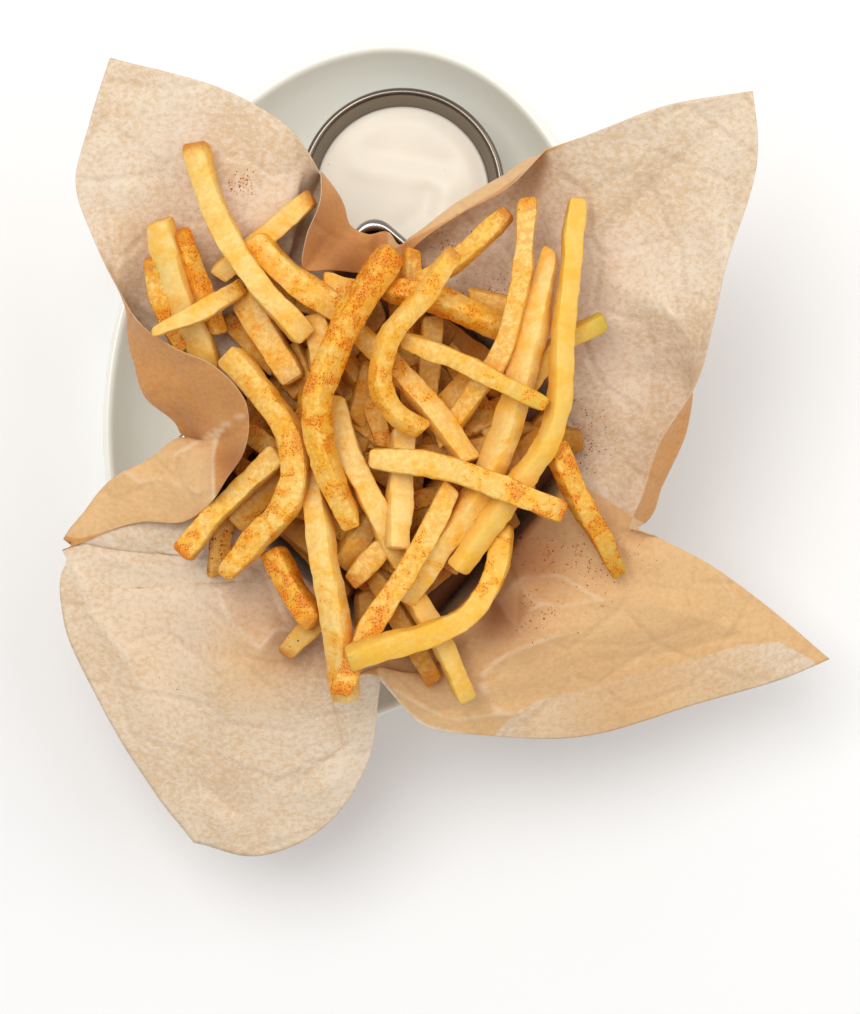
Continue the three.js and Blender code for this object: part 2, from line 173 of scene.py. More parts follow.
def bumped(tree, height, distance, strength=1.0, normal=None):
    """A normal that makes a height, in millimetres, look raised."""
    inputs = {"Height": height, "Distance": distance * MM, "Strength": strength}
    if normal:
        inputs["Normal"] = normal
    return add(tree, "Bump", inputs).outputs[0]


def kept(tree, name):
    """A value that the mesh keeps at each vertex."""
    return add(tree, "Attribute", attribute_name=name).outputs["Fac"]


def surfaced(material, inputs):
    """Gives the material its Principled shader."""
    tree = material.node_tree
    shader = add(tree, "BsdfPrincipled", inputs)
    add(tree, "OutputMaterial", {"Surface": shader.outputs[0]})


def blank_material(name):
    """A material with no nodes yet, and its tree."""
    material = bpy.data.materials.new(name)
    material.use_nodes = True
    material.node_tree.nodes.clear()
    return material, material.node_tree


glaze, tree = blank_material("warm_white_glaze")
place = in_millimetres(tree)
height = add(tree, "SeparateXYZ", {0: place}).outputs[2]
pooled = clouds(tree, place, 0.02, 2.0)
glaze_colour = mixed(tree, pooled, colour(250, 252, 238), colour(253, 254, 245))
bare = ramped(tree, height, 0.9, 0.3)
pinholes = ramped(tree, clouds(tree, place, 1.6, 1.0), 0.74, 0.8)
glaze_colour = mixed(tree, joined(tree, "MULTIPLY", pinholes, 0.25), glaze_colour, colour(176, 168, 148))
ripple = clouds(tree, place, 0.12, 2.0)
surfaced(glaze, {
    "Base Color": mixed(tree, bare, glaze_colour, colour(203, 190, 166)),
    "Roughness": ramped(tree, bare, 0, 1, 0.16, 0.85),
    "Normal": bumped(tree, ripple, 0.05, 0.5),
    "Coat Weight": 0.3,
    "Coat Roughness": 0.08,
})

platter_bm = spun([(TURNED_R - inset, z) for inset, z in smooth_section(PLATTER_SECTION, 2)])
for vert in platter_bm.verts:
    across = math.hypot(vert.co.x, vert.co.y) / MM
    around = math.atan2(vert.co.y, vert.co.x)
    inset = TURNED_R - across
    if across < FLOOR_R:
        reach = [(half - FLOOR_INSET) * across / FLOOR_R for half in PLATTER_HALF]
    else:
        reach = [half - inset for half in PLATTER_HALF]
    vert.co.x = reach[0] * MM * math.cos(around)
    vert.co.y = reach[1] * MM * math.sin(around)
placed(platter_bm, PLATTER_AT, PLATTER_TURN)
finished("oval_platter", platter_bm, glaze, "platter")


# Square container: stainless sheet drawn into a flared box with round corners and a rolled rim.
# It starts as a bevelled square, and its wall, roll and inside are drawn out ring by ring.
TIN_AT = (-19.3, -4.2)
TIN_TURN = 49.5
TIN_BASE_HALF = 32.5
TIN_BASE_Z = 6.3
TIN_RIM_HALF = 56.4
TIN_RIM_Z = 88
TIN_CORNER = 9.5
TIN_BEND = 2
TIN_WALL = 1
TIN_ROLL = 1.5
TIN_ROLL_DEGREES = range(-60, 181, 24)
TIN_SHARP_DEGREES = 40
TIN_FLOOR_Z = TIN_BASE_Z + TIN_WALL
ROLL_Z = TIN_RIM_Z - TIN_ROLL

brushing = bpy.data.node_groups.new("drawn_steel_marks", "ShaderNodeTree")
brushing.interface.new_socket("Place", in_out="INPUT", socket_type="NodeSocketVector")
brushing.interface.new_socket("Roughness", in_out="OUTPUT", socket_type="NodeSocketFloat")
brushing.interface.new_socket("Tint", in_out="OUTPUT", socket_type="NodeSocketFloat")
brushing.interface.new_socket("Height", in_out="OUTPUT", socket_type="NodeSocketFloat")
marks_in = brushing.nodes.new("NodeGroupInput").outputs["Place"]
along = add(brushing, "Mapping", {"Vector": marks_in, "Scale": (0.05, 0.05, 2.4)}).outputs[0]
lines = clouds(brushing, along, 1.0, 4.0, 0.7)
smears = clouds(brushing, marks_in, 0.035, 3.0)
marks_out = brushing.nodes.new("NodeGroupOutput")
brushing.links.new(ramped(brushing, smears, 0.3, 0.7, 0.12, 0.26), marks_out.inputs["Roughness"])
brushing.links.new(lines, marks_out.inputs["Tint"])
brushing.links.new(lines, marks_out.inputs["Height"])


def steel_material(name, dark, light, depth):
    """Stainless steel with drawing marks and smears of its own strength."""
    material, tree = blank_material(name)
    marks = tree.nodes.new("ShaderNodeGroup")
    marks.node_tree = brushing
    tree.links.new(in_millimetres(tree), marks.inputs["Place"])
    surfaced(material, {
        "Base Color": mixed(tree, marks.outputs["Tint"], dark, light),
        "Metallic": 1.0,
        "Roughness": marks.outputs["Roughness"],
        "Normal": bumped(tree, marks.outputs["Height"], depth, 0.4),
    })
    return material


def rounded_square(half, corner, segments, z):
    """A capped square with round corners, from which a piece is drawn up ring by ring."""
    bm = bmesh.new()
    bmesh.ops.create_circle(bm, cap_ends=True, radius=half * math.sqrt(2) * MM, segments=4,
                            matrix=Matrix.Rotation(math.radians(45), 4, "Z"))
    bmesh.ops.bevel(bm, geom=bm.verts[:], offset=corner * MM, offset_type="OFFSET",
                    affect="VERTICES", segments=segments, profile=0.5, material=-1)
    for vert in bm.verts:
        vert.co.z = z * MM
    return bm


def drawn_up(bm, ring, z):
    """Draws a ring of edges out to a height, and gives the new ring and its vertices."""
    drawn = bmesh.ops.extrude_edge_only(bm, edges=ring)["geom"]
    verts = [v for v in drawn if isinstance(v, bmesh.types.BMVert)]
    for vert in verts:
        vert.co.z = z * MM
    return [e for e in drawn if isinstance(e, bmesh.types.BMEdge) and e.is_boundary], verts


tin_steel = steel_material("satin_steel", colour(142, 135, 126), colour(172, 165, 156), 0.02)
half = TIN_BASE_HALF - TIN_BEND
tin_bm = rounded_square(half, TIN_CORNER - TIN_BEND, 8, TIN_BASE_Z)
ring = tin_bm.edges[:]
roll = [(TIN_RIM_HALF + TIN_ROLL * math.cos(a), ROLL_Z + TIN_ROLL * math.sin(a))
        for a in map(math.radians, TIN_ROLL_DEGREES)]
floor_half = TIN_BASE_HALF - TIN_WALL
tin_steps = [
    (TIN_BASE_HALF - 0.6, TIN_BASE_Z + 0.5), (TIN_BASE_HALF, TIN_BASE_Z + TIN_BEND),
    (TIN_RIM_HALF - 0.5, ROLL_Z - TIN_ROLL), *roll,
    (TIN_RIM_HALF - TIN_ROLL, ROLL_Z - 1), (floor_half, TIN_FLOOR_Z + TIN_BEND),
    (floor_half - 0.6, TIN_FLOOR_Z + 0.5), (floor_half - TIN_BEND, TIN_FLOOR_Z),
]
for next_half, z in tin_steps:
    ring, verts = drawn_up(tin_bm, ring, z)
    for vert in verts:
        vert.co.x += math.copysign(1, vert.co.x) * (next_half - half) * MM
        vert.co.y += math.copysign(1, vert.co.y) * (next_half - half) * MM
    half = next_half
bmesh.ops.holes_fill(tin_bm, edges=ring)
bmesh.ops.recalc_face_normals(tin_bm, faces=tin_bm.faces)
placed(tin_bm, TIN_AT, TIN_TURN)
tin = finished("square_container", tin_bm, tin_steel, "fry_tin")
tin.data.set_sharp_from_angle(angle=math.radians(TIN_SHARP_DEGREES))


# Paper liner: one square sheet of thin brown greaseproof, pushed into the container by hand.
# Its corners stand out over the rim: two flaps behind reach up, and two in front sag outwards.
# Where a single layer has light behind it the fibres show as a pale mottle, painted in as light shining
# through; elsewhere it is tan.
PAPER_GAP = 0.9
PAPER_CORNER = 20
PAPER_LIP_GAP = 0.8
PAPER_LIP_RISES = (1, 1.6)
PAPER_THICK = 0.3
PAPER_FLOOR_Z = TIN_FLOOR_Z + 0.75
PAPER_FOOT_IN = 6
PAPER_WALL_ZS = (TIN_FLOOR_Z + 6, 48, ROLL_Z - 6)

# In the corner on the right the sheet isn't pushed home: the direction, how wide in degrees, how far it
# stands in from the corner, and how much higher it lies there.
LOOSE_CORNER = (365, 12, 0.16, 4)
COLUMNS_PER_RIB = 8
ROWS_PER_SPAN = (1, 1, 2, 2, 3, 3, 17, 22, 24)

# Each rib: direction from the container's middle in degrees, where the sheet turns, and its free edge.
PAPER_RIBS = (
    # the pleat in the corner by the sauce cup, then the tall flap behind on the left
    (92, -20, 69, 90, -30, 55, 96), (97, -27, 68, 94, -39, 55, 105), (101, -33, 71, 95, -48, 55, 112),
    (110, -35, 77, 98, -47, 64, 117), (116, -38, 82, 106, -42, 78, 118), (119, -42, 87, 110, -42, 85, 117),
    (122, -48, 83, 108, -46, 92, 120), (124, -52, 70, 106, -52, 100, 118),
    (132, -62, 73, 107, -70, 111, 121), (143, -86, 70, 107, -110, 122, 127),
    (149, -94, 63, 106, -117, 101, 124), (154, -100, 57, 104, -122, 81, 120),
    (158, -103, 50, 102, -117, 65, 115),
    # its side curls in over the fries
    (162, -107, 43, 100, -110, 50, 112), (165, -108, 36, 98, -102, 37, 114),
    (168, -106, 25, 95, -91, 29, 119), (171, -102, 13, 94, -75, 21, 123),
    (175, -91, 5, 93, -66, 10, 123), (181, -83, -2, 93, -67, -6, 119),
    # the pleat on the left, and the folded top of the flap in front of it
    (187, -90, -1, 94, -73, -15, 117), (193, -101, -8, 94, -78, -22, 109),
    (200, -114, -15, 90, -89, -29, 98), (207, -123, -26, 86, -104, -29, 91),
    (214, -129, -38, 80.5, -132.5, -39, 80), (217, -121, -43, 82, -131, -42, 79),
    # the flap in front on the left, creased just outside the rim
    (220, -118, -48, 82, -133, -47, 79), (226, -80, -53, 91, -133, -61, 77),
    (232, -75, -59, 94, -121, -92, 72), (238, -67, -71, 97, -101, -126, 66),
    (243, -59, -73, 95, -89, -142, 63), (249, -50, -74, 94, -67, -147, 61),
    (256, -42, -79, 93, -44, -137, 64), (263, -35, -83, 92, -28, -114, 70),
    (270, -28, -80, 92, -24, -92, 80),
    # the notch in front
    (275, -24, -79, 92, -23, -83, 91), (280, -18, -81, 93, -18, -89, 87),
    # the flap in front on the right, long and low, out to its pointed tip
    (287, -9, -86, 93, -10, -98, 83), (295, 6, -83, 92, 15, -103, 77), (304, 22, -74, 92, 46, -104, 72),
    (312, 38, -66, 92, 85, -94, 64), (319, 57, -60, 90, 129, -81, 56), (324, 65, -55, 90, 136, -78, 54),
    (332, 65, -47, 90, 111, -58, 68), (342, 63, -39, 92, 89, -43, 80), (351, 59, -32, 92, 71, -34, 88),
    # the pleat on the right, and the turned-in side of the flap behind it
    (358, 67, -29, 94, 60, -31, 104), (364, 72, -17, 98, 64, -21, 110), (370, 80, 3, 103, 70, -2, 116),
    (376, 81, 20, 107, 81, 16, 119),
    # the flap behind on the right, the tallest
    (380, 77, 31, 107, 87, 38, 120), (383, 69, 42, 107, 90, 52, 121), (390, 64, 61, 108, 100, 91, 130),
    (397, 57, 71, 110, 98, 110, 133), (406, 47, 68, 110, 72, 106, 131), (416, 34, 74, 107, 46, 97, 127),
    (421, 30, 92, 112, 32, 93, 119), (426, 19, 85, 112, 20, 81, 118), (434, 2, 76, 106, 4, 73, 111),
    (442, -12, 67, 98, -10, 64, 104),
    (448, -17, 65, 91, -15, 59, 97),
)

# The ribs at which the free edge has a corner, and the one where the fold along it has one too.
EDGE_CORNERS = (92, 119, 143, 214, 243, 275, 324, 351, 358, 397, 421)
FOLD_CORNERS = (119,)

# Creases, traced on the photo: how far one stands up (or sinks, if under 0) and reaches in millimetres,
# then x, y of its points in the frame's pixels.
CREASES = (
    (1.6, 5, 75, 560, 85, 600, 120, 650, 145, 690),
    (-2.6, 3, 322, 640, 330, 690, 338, 735, 346, 745),
    (1.6, 3, 346, 690, 350, 735, 346, 745),
    (-1.8, 4, 346, 745, 310, 770, 290, 790),
    (1.2, 4, 200, 780, 240, 855),
    (-2.2, 11, 170, 640, 240, 655, 330, 670),
    (1.0, 4, 230, 760, 280, 775, 330, 752),
    (0.9, 4, 160, 798, 230, 820, 300, 843),
    (1.3, 5, 610, 282, 640, 300, 680, 320),
    (1.8, 5, 577, 360, 600, 330, 620, 305, 645, 303, 660, 315),
    (-1.9, 5, 565, 410, 600, 430, 640, 475),
    (1.0, 4, 620, 430, 660, 432, 675, 425),
    (2.2, 3, 515, 713, 500, 713, 487, 700, 482, 685, 484, 672, 495, 662, 520, 648, 560, 634),
    (2.0, 3, 490, 592, 505, 610, 520, 632, 530, 610, 545, 600),
    (2.0, 4, 500, 600, 520, 578, 560, 575, 600, 600),
    (1.4, 4, 600, 600, 560, 606, 535, 602, 520, 585),
    (-1.6, 5, 560, 640, 640, 645, 700, 625, 735, 610),
    (1.0, 3, 622, 655, 628, 682),
    (1.6, 3, 395, 690, 425, 708, 455, 720, 500, 713),
    (-1.5, 3, 380, 660, 420, 700, 455, 718),
    (1.2, 4, 720, 575, 735, 600, 728, 630),
    (2.2, 3, 176, 455, 215, 432, 246, 413),
    (-2.0, 3, 155, 470, 175, 477, 180, 455),
    (2.0, 3, 215, 499, 214, 460, 216, 440, 225, 428),
    (2.4, 5, 206, 530, 213, 560, 224, 608, 228, 620, 260, 648, 275, 630, 320, 626),
    (-1.4, 4, 100, 600, 130, 560, 200, 540),
    (1.2, 4, 62, 560, 84, 575, 95, 610, 130, 655),
    (-1.4, 4, 200, 785, 232, 800, 255, 830),
    (1.2, 3, 280, 792, 310, 792, 340, 780),
    (-1.3, 4, 440, 270, 480, 262, 520, 300),
    (1.4, 4, 620, 285, 660, 300, 690, 340),
    (-1.4, 4, 150, 330, 170, 360, 200, 400),
    (1.2, 3, 470, 640, 520, 640, 560, 620),
    (-1.4, 4, 600, 660, 680, 650, 740, 632),
    (1.4, 3, 120, 468, 140, 482, 165, 478, 200, 492),
    (1.3, 4, 100, 238, 125, 250, 122, 265),
)

# How wide a crease's line is in pixels, the height in millimetres at which its painted highlight, or
# painted shade where it sinks, is full, and how many times its reach it is followed.
CREASE_PX = 2.2
CREASE_FULL = 2
CREASE_REACHES = 4
PX_PER_MM = 2.9

# The sheet's own unevenness: how high its waves are, and how far apart. It starts above the last level
# that lies on the wall, and is at its full height two levels on.
PAPER_WAVES = ((1.3, 19), (0.5, 7))
LAST_WALL_LEVEL = 4
FREE_AFTER = 2
DOUBLED_LIMIT = 30

# The photo's view, straight down: where it looks from, its middle and its focal length in pixels.
VIEW_AT = (-6, -24, 900)
VIEW_MIDDLE = (430, 507)
VIEW_FOCAL = 2381

# Where the sheet lies on another layer of itself, so that no light shines through and it is painted tan:
# outlines in the frame's pixels.
DOUBLED = (
    (377, 672, 404, 706, 425, 724, 490, 740, 515, 713, 540, 700, 580, 690, 620, 680, 660, 668, 700, 658,
     740, 645, 780, 642, 812, 660, 840, 690, 840, 640, 760, 590, 700, 550, 638, 520, 560, 470, 400, 560),
    (388, 252, 440, 224, 500, 190, 548, 153, 578, 138, 560, 124, 500, 166, 440, 201, 388, 232),
    (60, 535, 79, 539, 145, 521, 180, 524, 200, 516, 215, 499, 213, 460, 222, 429, 197, 441, 180, 434,
     60, 480),
)

# Spice spilt on the sheet: x, y and reach of each spot in the frame's pixels, and how thick it lies.
SPILT_SPICE = (
    (243, 184, 13, 0.9), (237, 190, 5, 0.6), (447, 245, 15, 0.8), (490, 292, 18, 0.75),
    (455, 275, 20, 0.35), (580, 436, 24, 0.75), (610, 448, 14, 0.35), (560, 425, 12, 0.4),
    (545, 552, 18, 0.8), (580, 560, 26, 0.55),
    (515, 540, 22, 0.45), (540, 612, 20, 0.5), (530, 600, 14, 0.5), (600, 580, 26, 0.35),
    (640, 540, 30, 0.15), (335, 290, 14, 0.3), (470, 240, 22, 0.3), (210, 330, 16, 0.4),
    (640, 240, 60, 0.05), (150, 160, 60, 0.05), (170, 680, 80, 0.06), (600, 640, 60, 0.06),
    (250, 610, 25, 0.12),
)

# Where the sheet is darkened by painted shade in its pockets and under its folds, and partly by soaked
# frying oil: x, y, reach, strength.
SHADE_AND_OIL_SPOTS = (
    (530, 560, 44, 0.8), (500, 612, 40, 0.85), (440, 655, 36, 0.6), (300, 640, 40, 0.45),
    (345, 262, 28, 0.6), (318, 228, 24, 0.3), (234, 462, 20, 0.6), (580, 442, 26, 0.2),
    (470, 285, 34, 0.2), (330, 250, 34, 0.45), (236, 400, 26, 0.25), (250, 610, 44, 0.3),
    (600, 560, 50, 0.15), (385, 250, 24, 0.45), (190, 415, 40, 0.2), (600, 718, 70, 0.12),
)

# Where the sheet lies close on something, so that less light shines through and it is painted less pale: x,
# y, reach, strength.
LESS_LIGHT_THROUGH = (
    (150, 650, 110, 0.3), (255, 660, 60, 0.8), (235, 800, 80, 0.15), (640, 715, 120, 0.9),
    (545, 640, 60, 0.35), (130, 235, 24, 0.3), (520, 330, 40, 0.2),
)


def on_square(half, corner, degrees):
    """The point where a ray from the container's middle leaves a square with round corners."""
    a = math.radians(degrees - TIN_TURN)
    dx, dy = math.cos(a), math.sin(a)
    core = half - corner
    reach = half / max(abs(dx), abs(dy))
    if min(abs(dx), abs(dy)) * reach > core:
        along = core * (abs(dx) + abs(dy))
        reach = along + math.sqrt(along * along - 2 * core * core + corner * corner)
    turn = math.radians(TIN_TURN)
    x, y = dx * reach, dy * reach
    return (TIN_AT[0] + x * math.cos(turn) - y * math.sin(turn),
            TIN_AT[1] + x * math.sin(turn) + y * math.cos(turn))


def inside_half(z):
    """Half the container's inside width at a height."""
    bend_z = TIN_FLOOR_Z + TIN_BEND
    low, high = TIN_BASE_HALF - TIN_WALL, TIN_RIM_HALF - TIN_ROLL
    return low + (high - low) * (z - bend_z) / (ROLL_Z - bend_z)


def rib_points(direction, turn, edge):
    """A rib's points, from the middle of the floor, up the wall and over the rim, to the free edge."""
    wall = [Vector((*on_square(inside_half(z) - PAPER_GAP, PAPER_CORNER, direction), z))
            for z in PAPER_WALL_ZS]
    middle, wide, shift, rise = LOOSE_CORNER
    loose = math.exp(-((direction - middle) / wide) ** 2)
    for point, share in zip(wall, (0, 0.9, 1)):
        point.xy = point.xy.lerp(Vector(TIN_AT), loose * share * shift)
        point.z += loose * share * rise
    foot_at = on_square(TIN_BASE_HALF - PAPER_FOOT_IN, TIN_CORNER - TIN_BEND, direction)
    foot = Vector((*foot_at, PAPER_FLOOR_Z))
    sides = [math.radians(TIN_TURN + 90 * k) for k in range(4)]
    out = max((turn.x - TIN_AT[0]) * math.cos(a) + (turn.y - TIN_AT[1]) * math.sin(a) for a in sides)
    if out > TIN_RIM_HALF:
        inner = on_square(TIN_RIM_HALF - TIN_ROLL - PAPER_LIP_GAP, TIN_CORNER, direction)
        outer = on_square(TIN_RIM_HALF + TIN_ROLL + PAPER_LIP_GAP, TIN_CORNER, direction)
        lips = [Vector((*at, TIN_RIM_Z + up)) for at, up in zip((inner, outer), PAPER_LIP_RISES)]
    else:
        lips = [wall[2].lerp(turn, 0.35), wall[2].lerp(turn, 0.7)]
    return [Vector((*TIN_AT, PAPER_FLOOR_Z)), foot, *wall, *lips, turn, turn.lerp(edge, 0.5), edge]


def seen_at(point):
    """Where a point, in millimetres, shows in the photo's frame, in pixels."""
    scale = (VIEW_AT[2] - point.z) / VIEW_FOCAL
    return Vector(((point.x - VIEW_AT[0]) / scale + VIEW_MIDDLE[0],
                   VIEW_MIDDLE[1] - (point.y - VIEW_AT[1]) / scale))


def pairs(numbers):
    """The points whose x and y follow one another in a list."""
    return [Vector(p) for p in zip(numbers[0::2], numbers[1::2])]


def nearest(point, line):
    """The least distance from a point to a line of several stretches."""
    best = 1e9
    for a, b in zip(line, line[1:]):
        ab = b - a
        t = max(0, min(1, (point - a).dot(ab) / ab.length_squared))
        best = min(best, (point - a - ab * t).length)
    return best


def inside(point, outline):
    """True if a point lies within a closed outline."""
    within = False
    for a, b in zip(outline, outline[1:] + outline[:1]):
        if (a.y > point.y) != (b.y > point.y):
            if point.x < a.x + (b.x - a.x) * (point.y - a.y) / (b.y - a.y):
                within = not within
    return within


def strongest(sight, blots):
    """How much of the strongest of several round blots lies at a place in the frame."""
    return max(strength * math.exp(-((sight - Vector((x, y))).length / reach) ** 2)
               for x, y, reach, strength in blots)


def round_ring(points, corners):
    """A smooth closed ring through the points, which may turn sharply at the ones that are corners."""
    count = len(points)
    ring = []
    for k in range(count):
        before, a, b, after = (points[(k + i) % count] for i in (-1, 0, 1, 2))
        if k in corners:
            before = a
        if (k + 1) % count in corners:
            after = b
        for step in range(COLUMNS_PER_RIB):
            ring.append(through((before, a, b, after), 1 + step / COLUMNS_PER_RIB))
    return ring


ribs = [rib_points(rib[0], Vector(rib[1:4]), Vector(rib[4:7])) for rib in PAPER_RIBS]
edge_corners = {k for k, rib in enumerate(PAPER_RIBS) if rib[0] in EDGE_CORNERS}
fold_corners = {k for k, rib in enumerate(PAPER_RIBS) if rib[0] in FOLD_CORNERS}
column_count = len(ribs) * COLUMNS_PER_RIB
ring_corners = [set()] * (len(ribs[0]) - 3) + [fold_corners, edge_corners, edge_corners]
round_rings = [round_ring([rib[level] for rib in ribs], corners)
               for level, corners in enumerate(ring_corners)]
row_places = [span + k / steps for span, steps in enumerate(ROWS_PER_SPAN) for k in range(steps)]
row_places.append(len(ROWS_PER_SPAN))
paper_columns = []
for c in range(column_count):
    levels = [ring[c] for ring in round_rings]
    paper_columns.append([through(levels, t) for t in row_places])

paper_bm = bmesh.new()
doubled_by, outer_side, spilt, crease_highlight_and_shade, shade_and_oil, less_light_through = (
    paper_bm.verts.layers.float.new(name)
    for name in ("doubled_by", "outer_side", "spilt", "crease_highlight_and_shade", "shade_and_oil", "less_light_through"))
row_count = len(row_places)
bmesh.ops.create_grid(paper_bm, x_segments=column_count, y_segments=row_count - 1, size=0.5)
paper_bm.verts.ensure_lookup_table()
crease_lines = [(up, reach, pairs(points)) for up, reach, *points in CREASES]
for vert in paper_bm.verts:
    c = round((vert.co.x + 0.5) * column_count)
    r = round((vert.co.y + 0.5) * (row_count - 1))
    point = paper_columns[c % column_count][r].copy()
    if row_places[r] > LAST_WALL_LEVEL:
        free = min(1, (row_places[r] - LAST_WALL_LEVEL) / FREE_AFTER)
        sight = seen_at(point)
        lift = 0.0
        mark = 0.0
        for up, reach, line in crease_lines:
            reach_px = reach * PX_PER_MM
            away = nearest(sight, line)
            if away < CREASE_REACHES * reach_px:
                lift += up * math.exp(-away / reach_px)
                mark += up * math.exp(-(away / CREASE_PX) ** 2)
        lift += sum(high * noise.noise(point / apart) for high, apart in PAPER_WAVES)
        point.z += free * lift
        # A crease that stands up marks a painted highlight here, and one that sinks marks painted shade.
        vert[crease_highlight_and_shade] = free * max(-1, min(1, mark / CREASE_FULL))
    vert.co = point * MM
bmesh.ops.remove_doubles(paper_bm, verts=paper_bm.verts, dist=1e-6)
bmesh.ops.recalc_face_normals(paper_bm, faces=paper_bm.faces)
centre_face = min(paper_bm.faces, key=lambda f: (f.calc_center_median() - ribs[0][0] * MM).length)
if centre_face.normal.z < 0:
    bmesh.ops.reverse_faces(paper_bm, faces=paper_bm.faces)
paper_bm.normal_update()
upper_verts = paper_bm.verts[:]
upper_rim = [e for e in paper_bm.edges if e.is_boundary]
copied = bmesh.ops.duplicate(paper_bm, geom=upper_verts + paper_bm.edges[:] + paper_bm.faces[:])
under_faces = [f for f in copied["geom"] if isinstance(f, bmesh.types.BMFace)]
under_rim = [e for e in copied["geom"] if isinstance(e, bmesh.types.BMEdge) and e.is_boundary]
for vert in upper_verts:
    under = copied["vert_map"][vert]
    under.co = vert.co - vert.normal * PAPER_THICK * MM
    under[outer_side] = 1.0
bmesh.ops.reverse_faces(paper_bm, faces=under_faces)
bmesh.ops.bridge_loops(paper_bm, edges=upper_rim + under_rim)
doubled_outlines = [pairs(points) for points in DOUBLED]
for vert in paper_bm.verts:
    sight = seen_at(vert.co / MM)
    depths = []
    for outline in doubled_outlines:
        depth = nearest(sight, outline + outline[:1])
        depths.append(depth if inside(sight, outline) else -depth)
    vert[doubled_by] = max(-DOUBLED_LIMIT, min(DOUBLED_LIMIT, max(depths)))
    vert[spilt] = strongest(sight, SPILT_SPICE)
    vert[shade_and_oil] = strongest(sight, SHADE_AND_OIL_SPOTS)
    vert[less_light_through] = strongest(sight, LESS_LIGHT_THROUGH)

kraft, tree = blank_material("brown_greaseproof")
place = in_millimetres(tree)
mottle = clouds(tree, in_millimetres(tree, (0.8, 1.0, 1.0)), 0.62, 4.0, 0.72)
fine_fibres = clouds(tree, in_millimetres(tree, (0.4, 1.0, 1.0)), 2.6, 3.0, 0.7)
cloudy = clouds(tree, place, 0.03, 2.0)
mottle = joined(tree, "ADD", mottle, ramped(tree, cloudy, 0.3, 0.7, -0.07, 0.07))
mottle = joined(tree, "ADD", mottle, joined(tree, "MULTIPLY", fine_fibres, 0.25))
# Painted light shining through: a single layer is a pale mottle, and where none shines through it is tan.
lit = mixed(tree, ramped(tree, mottle, 0.46, 0.84), colour(233, 215, 192), colour(216, 185, 146))
tan = mixed(tree, ramped(tree, mottle, 0.45, 0.85), colour(230, 187, 132), colour(220, 172, 115))
# The outer face's plain tan, deepened and warmed as painted shade for the curls and cuffs that show it.
outer_tan_and_shade = mixed(tree, ramped(tree, mottle, 0.45, 0.85), colour(212, 150, 82), colour(200, 134, 66))
doubled = ramped(tree, kept(tree, "doubled_by"), -1.5, 1.5)
# Less pale where less light shines through, and tan where the sheet lies doubled.
paper_colour = mixed(tree, kept(tree, "less_light_through"), lit, tan)
outer_colour = mixed(tree, doubled, outer_tan_and_shade, tan)
paper_colour = mixed(tree, doubled, paper_colour, tan)
paper_colour = mixed(tree, kept(tree, "outer_side"), paper_colour, outer_colour)
crease = kept(tree, "crease_highlight_and_shade")
# Painted highlight along the creases that stand up, and painted shade along those that sink.
paper_colour = mixed(tree, ramped(tree, crease, 0.1, 1.0, 0.0, 0.3), paper_colour, colour(249, 234, 210))
paper_colour = mixed(tree, ramped(tree, crease, -0.1, -1.0, 0.0, 0.34), paper_colour, colour(200, 150, 98))
# Painted shade in pockets and under folds, with some oil stain, darkens the sheet to a deep brown.
paper_colour = mixed(tree, kept(tree, "shade_and_oil"), paper_colour, colour(142, 76, 24))
spilt_here = kept(tree, "spilt")
flecks = add(tree, "TexVoronoi", {"Vector": place, "Scale": 1.1, "Randomness": 1.0})
fleck_size = joined(tree, "MULTIPLY", spilt_here, 0.62)
fleck = ramped(tree, joined(tree, "SUBTRACT", fleck_size, flecks.outputs["Distance"]), 0.0, 0.2)
spice_tint = mixed(tree, clouds(tree, place, 0.8, 1.0), colour(222, 130, 44), colour(150, 70, 20))
paper_colour = mixed(tree, joined(tree, "MULTIPLY", fleck, 0.85), paper_colour, spice_tint)
lone = add(tree, "TexVoronoi", {"Vector": place, "Scale": 0.1, "Randomness": 1.0}).outputs["Distance"]
paper_colour = mixed(tree, ramped(tree, lone, 0.035, 0.015, 0.0, 0.6), paper_colour, colour(176, 124, 76))
crumple = add(tree, "TexVoronoi", {"Vector": in_millimetres(tree), "Scale": 0.045, "Randomness": 1.0},
              feature="DISTANCE_TO_EDGE", voronoi_dimensions="2D").outputs["Distance"]
relief = joined(tree, "ADD", ramped(tree, crumple, 0.0, 0.1), joined(tree, "MULTIPLY", cloudy, 2.0))
surfaced(kraft, {
    "Base Color": paper_colour,
    "Roughness": 0.7,
    "Normal": bumped(tree, mottle, 0.1, 0.3, bumped(tree, relief, 0.8, 0.45)),
    "Sheen Weight": 0.1,
})
paper_sheet = finished("paper_sheet", paper_bm, kraft, "paper_liner")


# Sauce cup: thin stainless steel, spun into a flared round cup with a rolled rim, and polished.
# Its section is spun round: the outside from the base up, over the roll, and down to the floor inside.
CUP_AT = (-16.1, 91)
CUP_BASE_Z = 6.3
CUP_BASE_R = 25.2
CUP_WALL = 0.8
CUP_INSIDE_R = CUP_BASE_R - CUP_WALL
CUP_RIM_Z = 36
CUP_ROLL = 1.5
CUP_ROLL_DEGREES = range(-70, 171, 20)
CUP_ROLL_R = 35.9
CUP_ROLL_Z = CUP_RIM_Z - CUP_ROLL
CUP_FLOOR_Z = CUP_BASE_Z + CUP_WALL

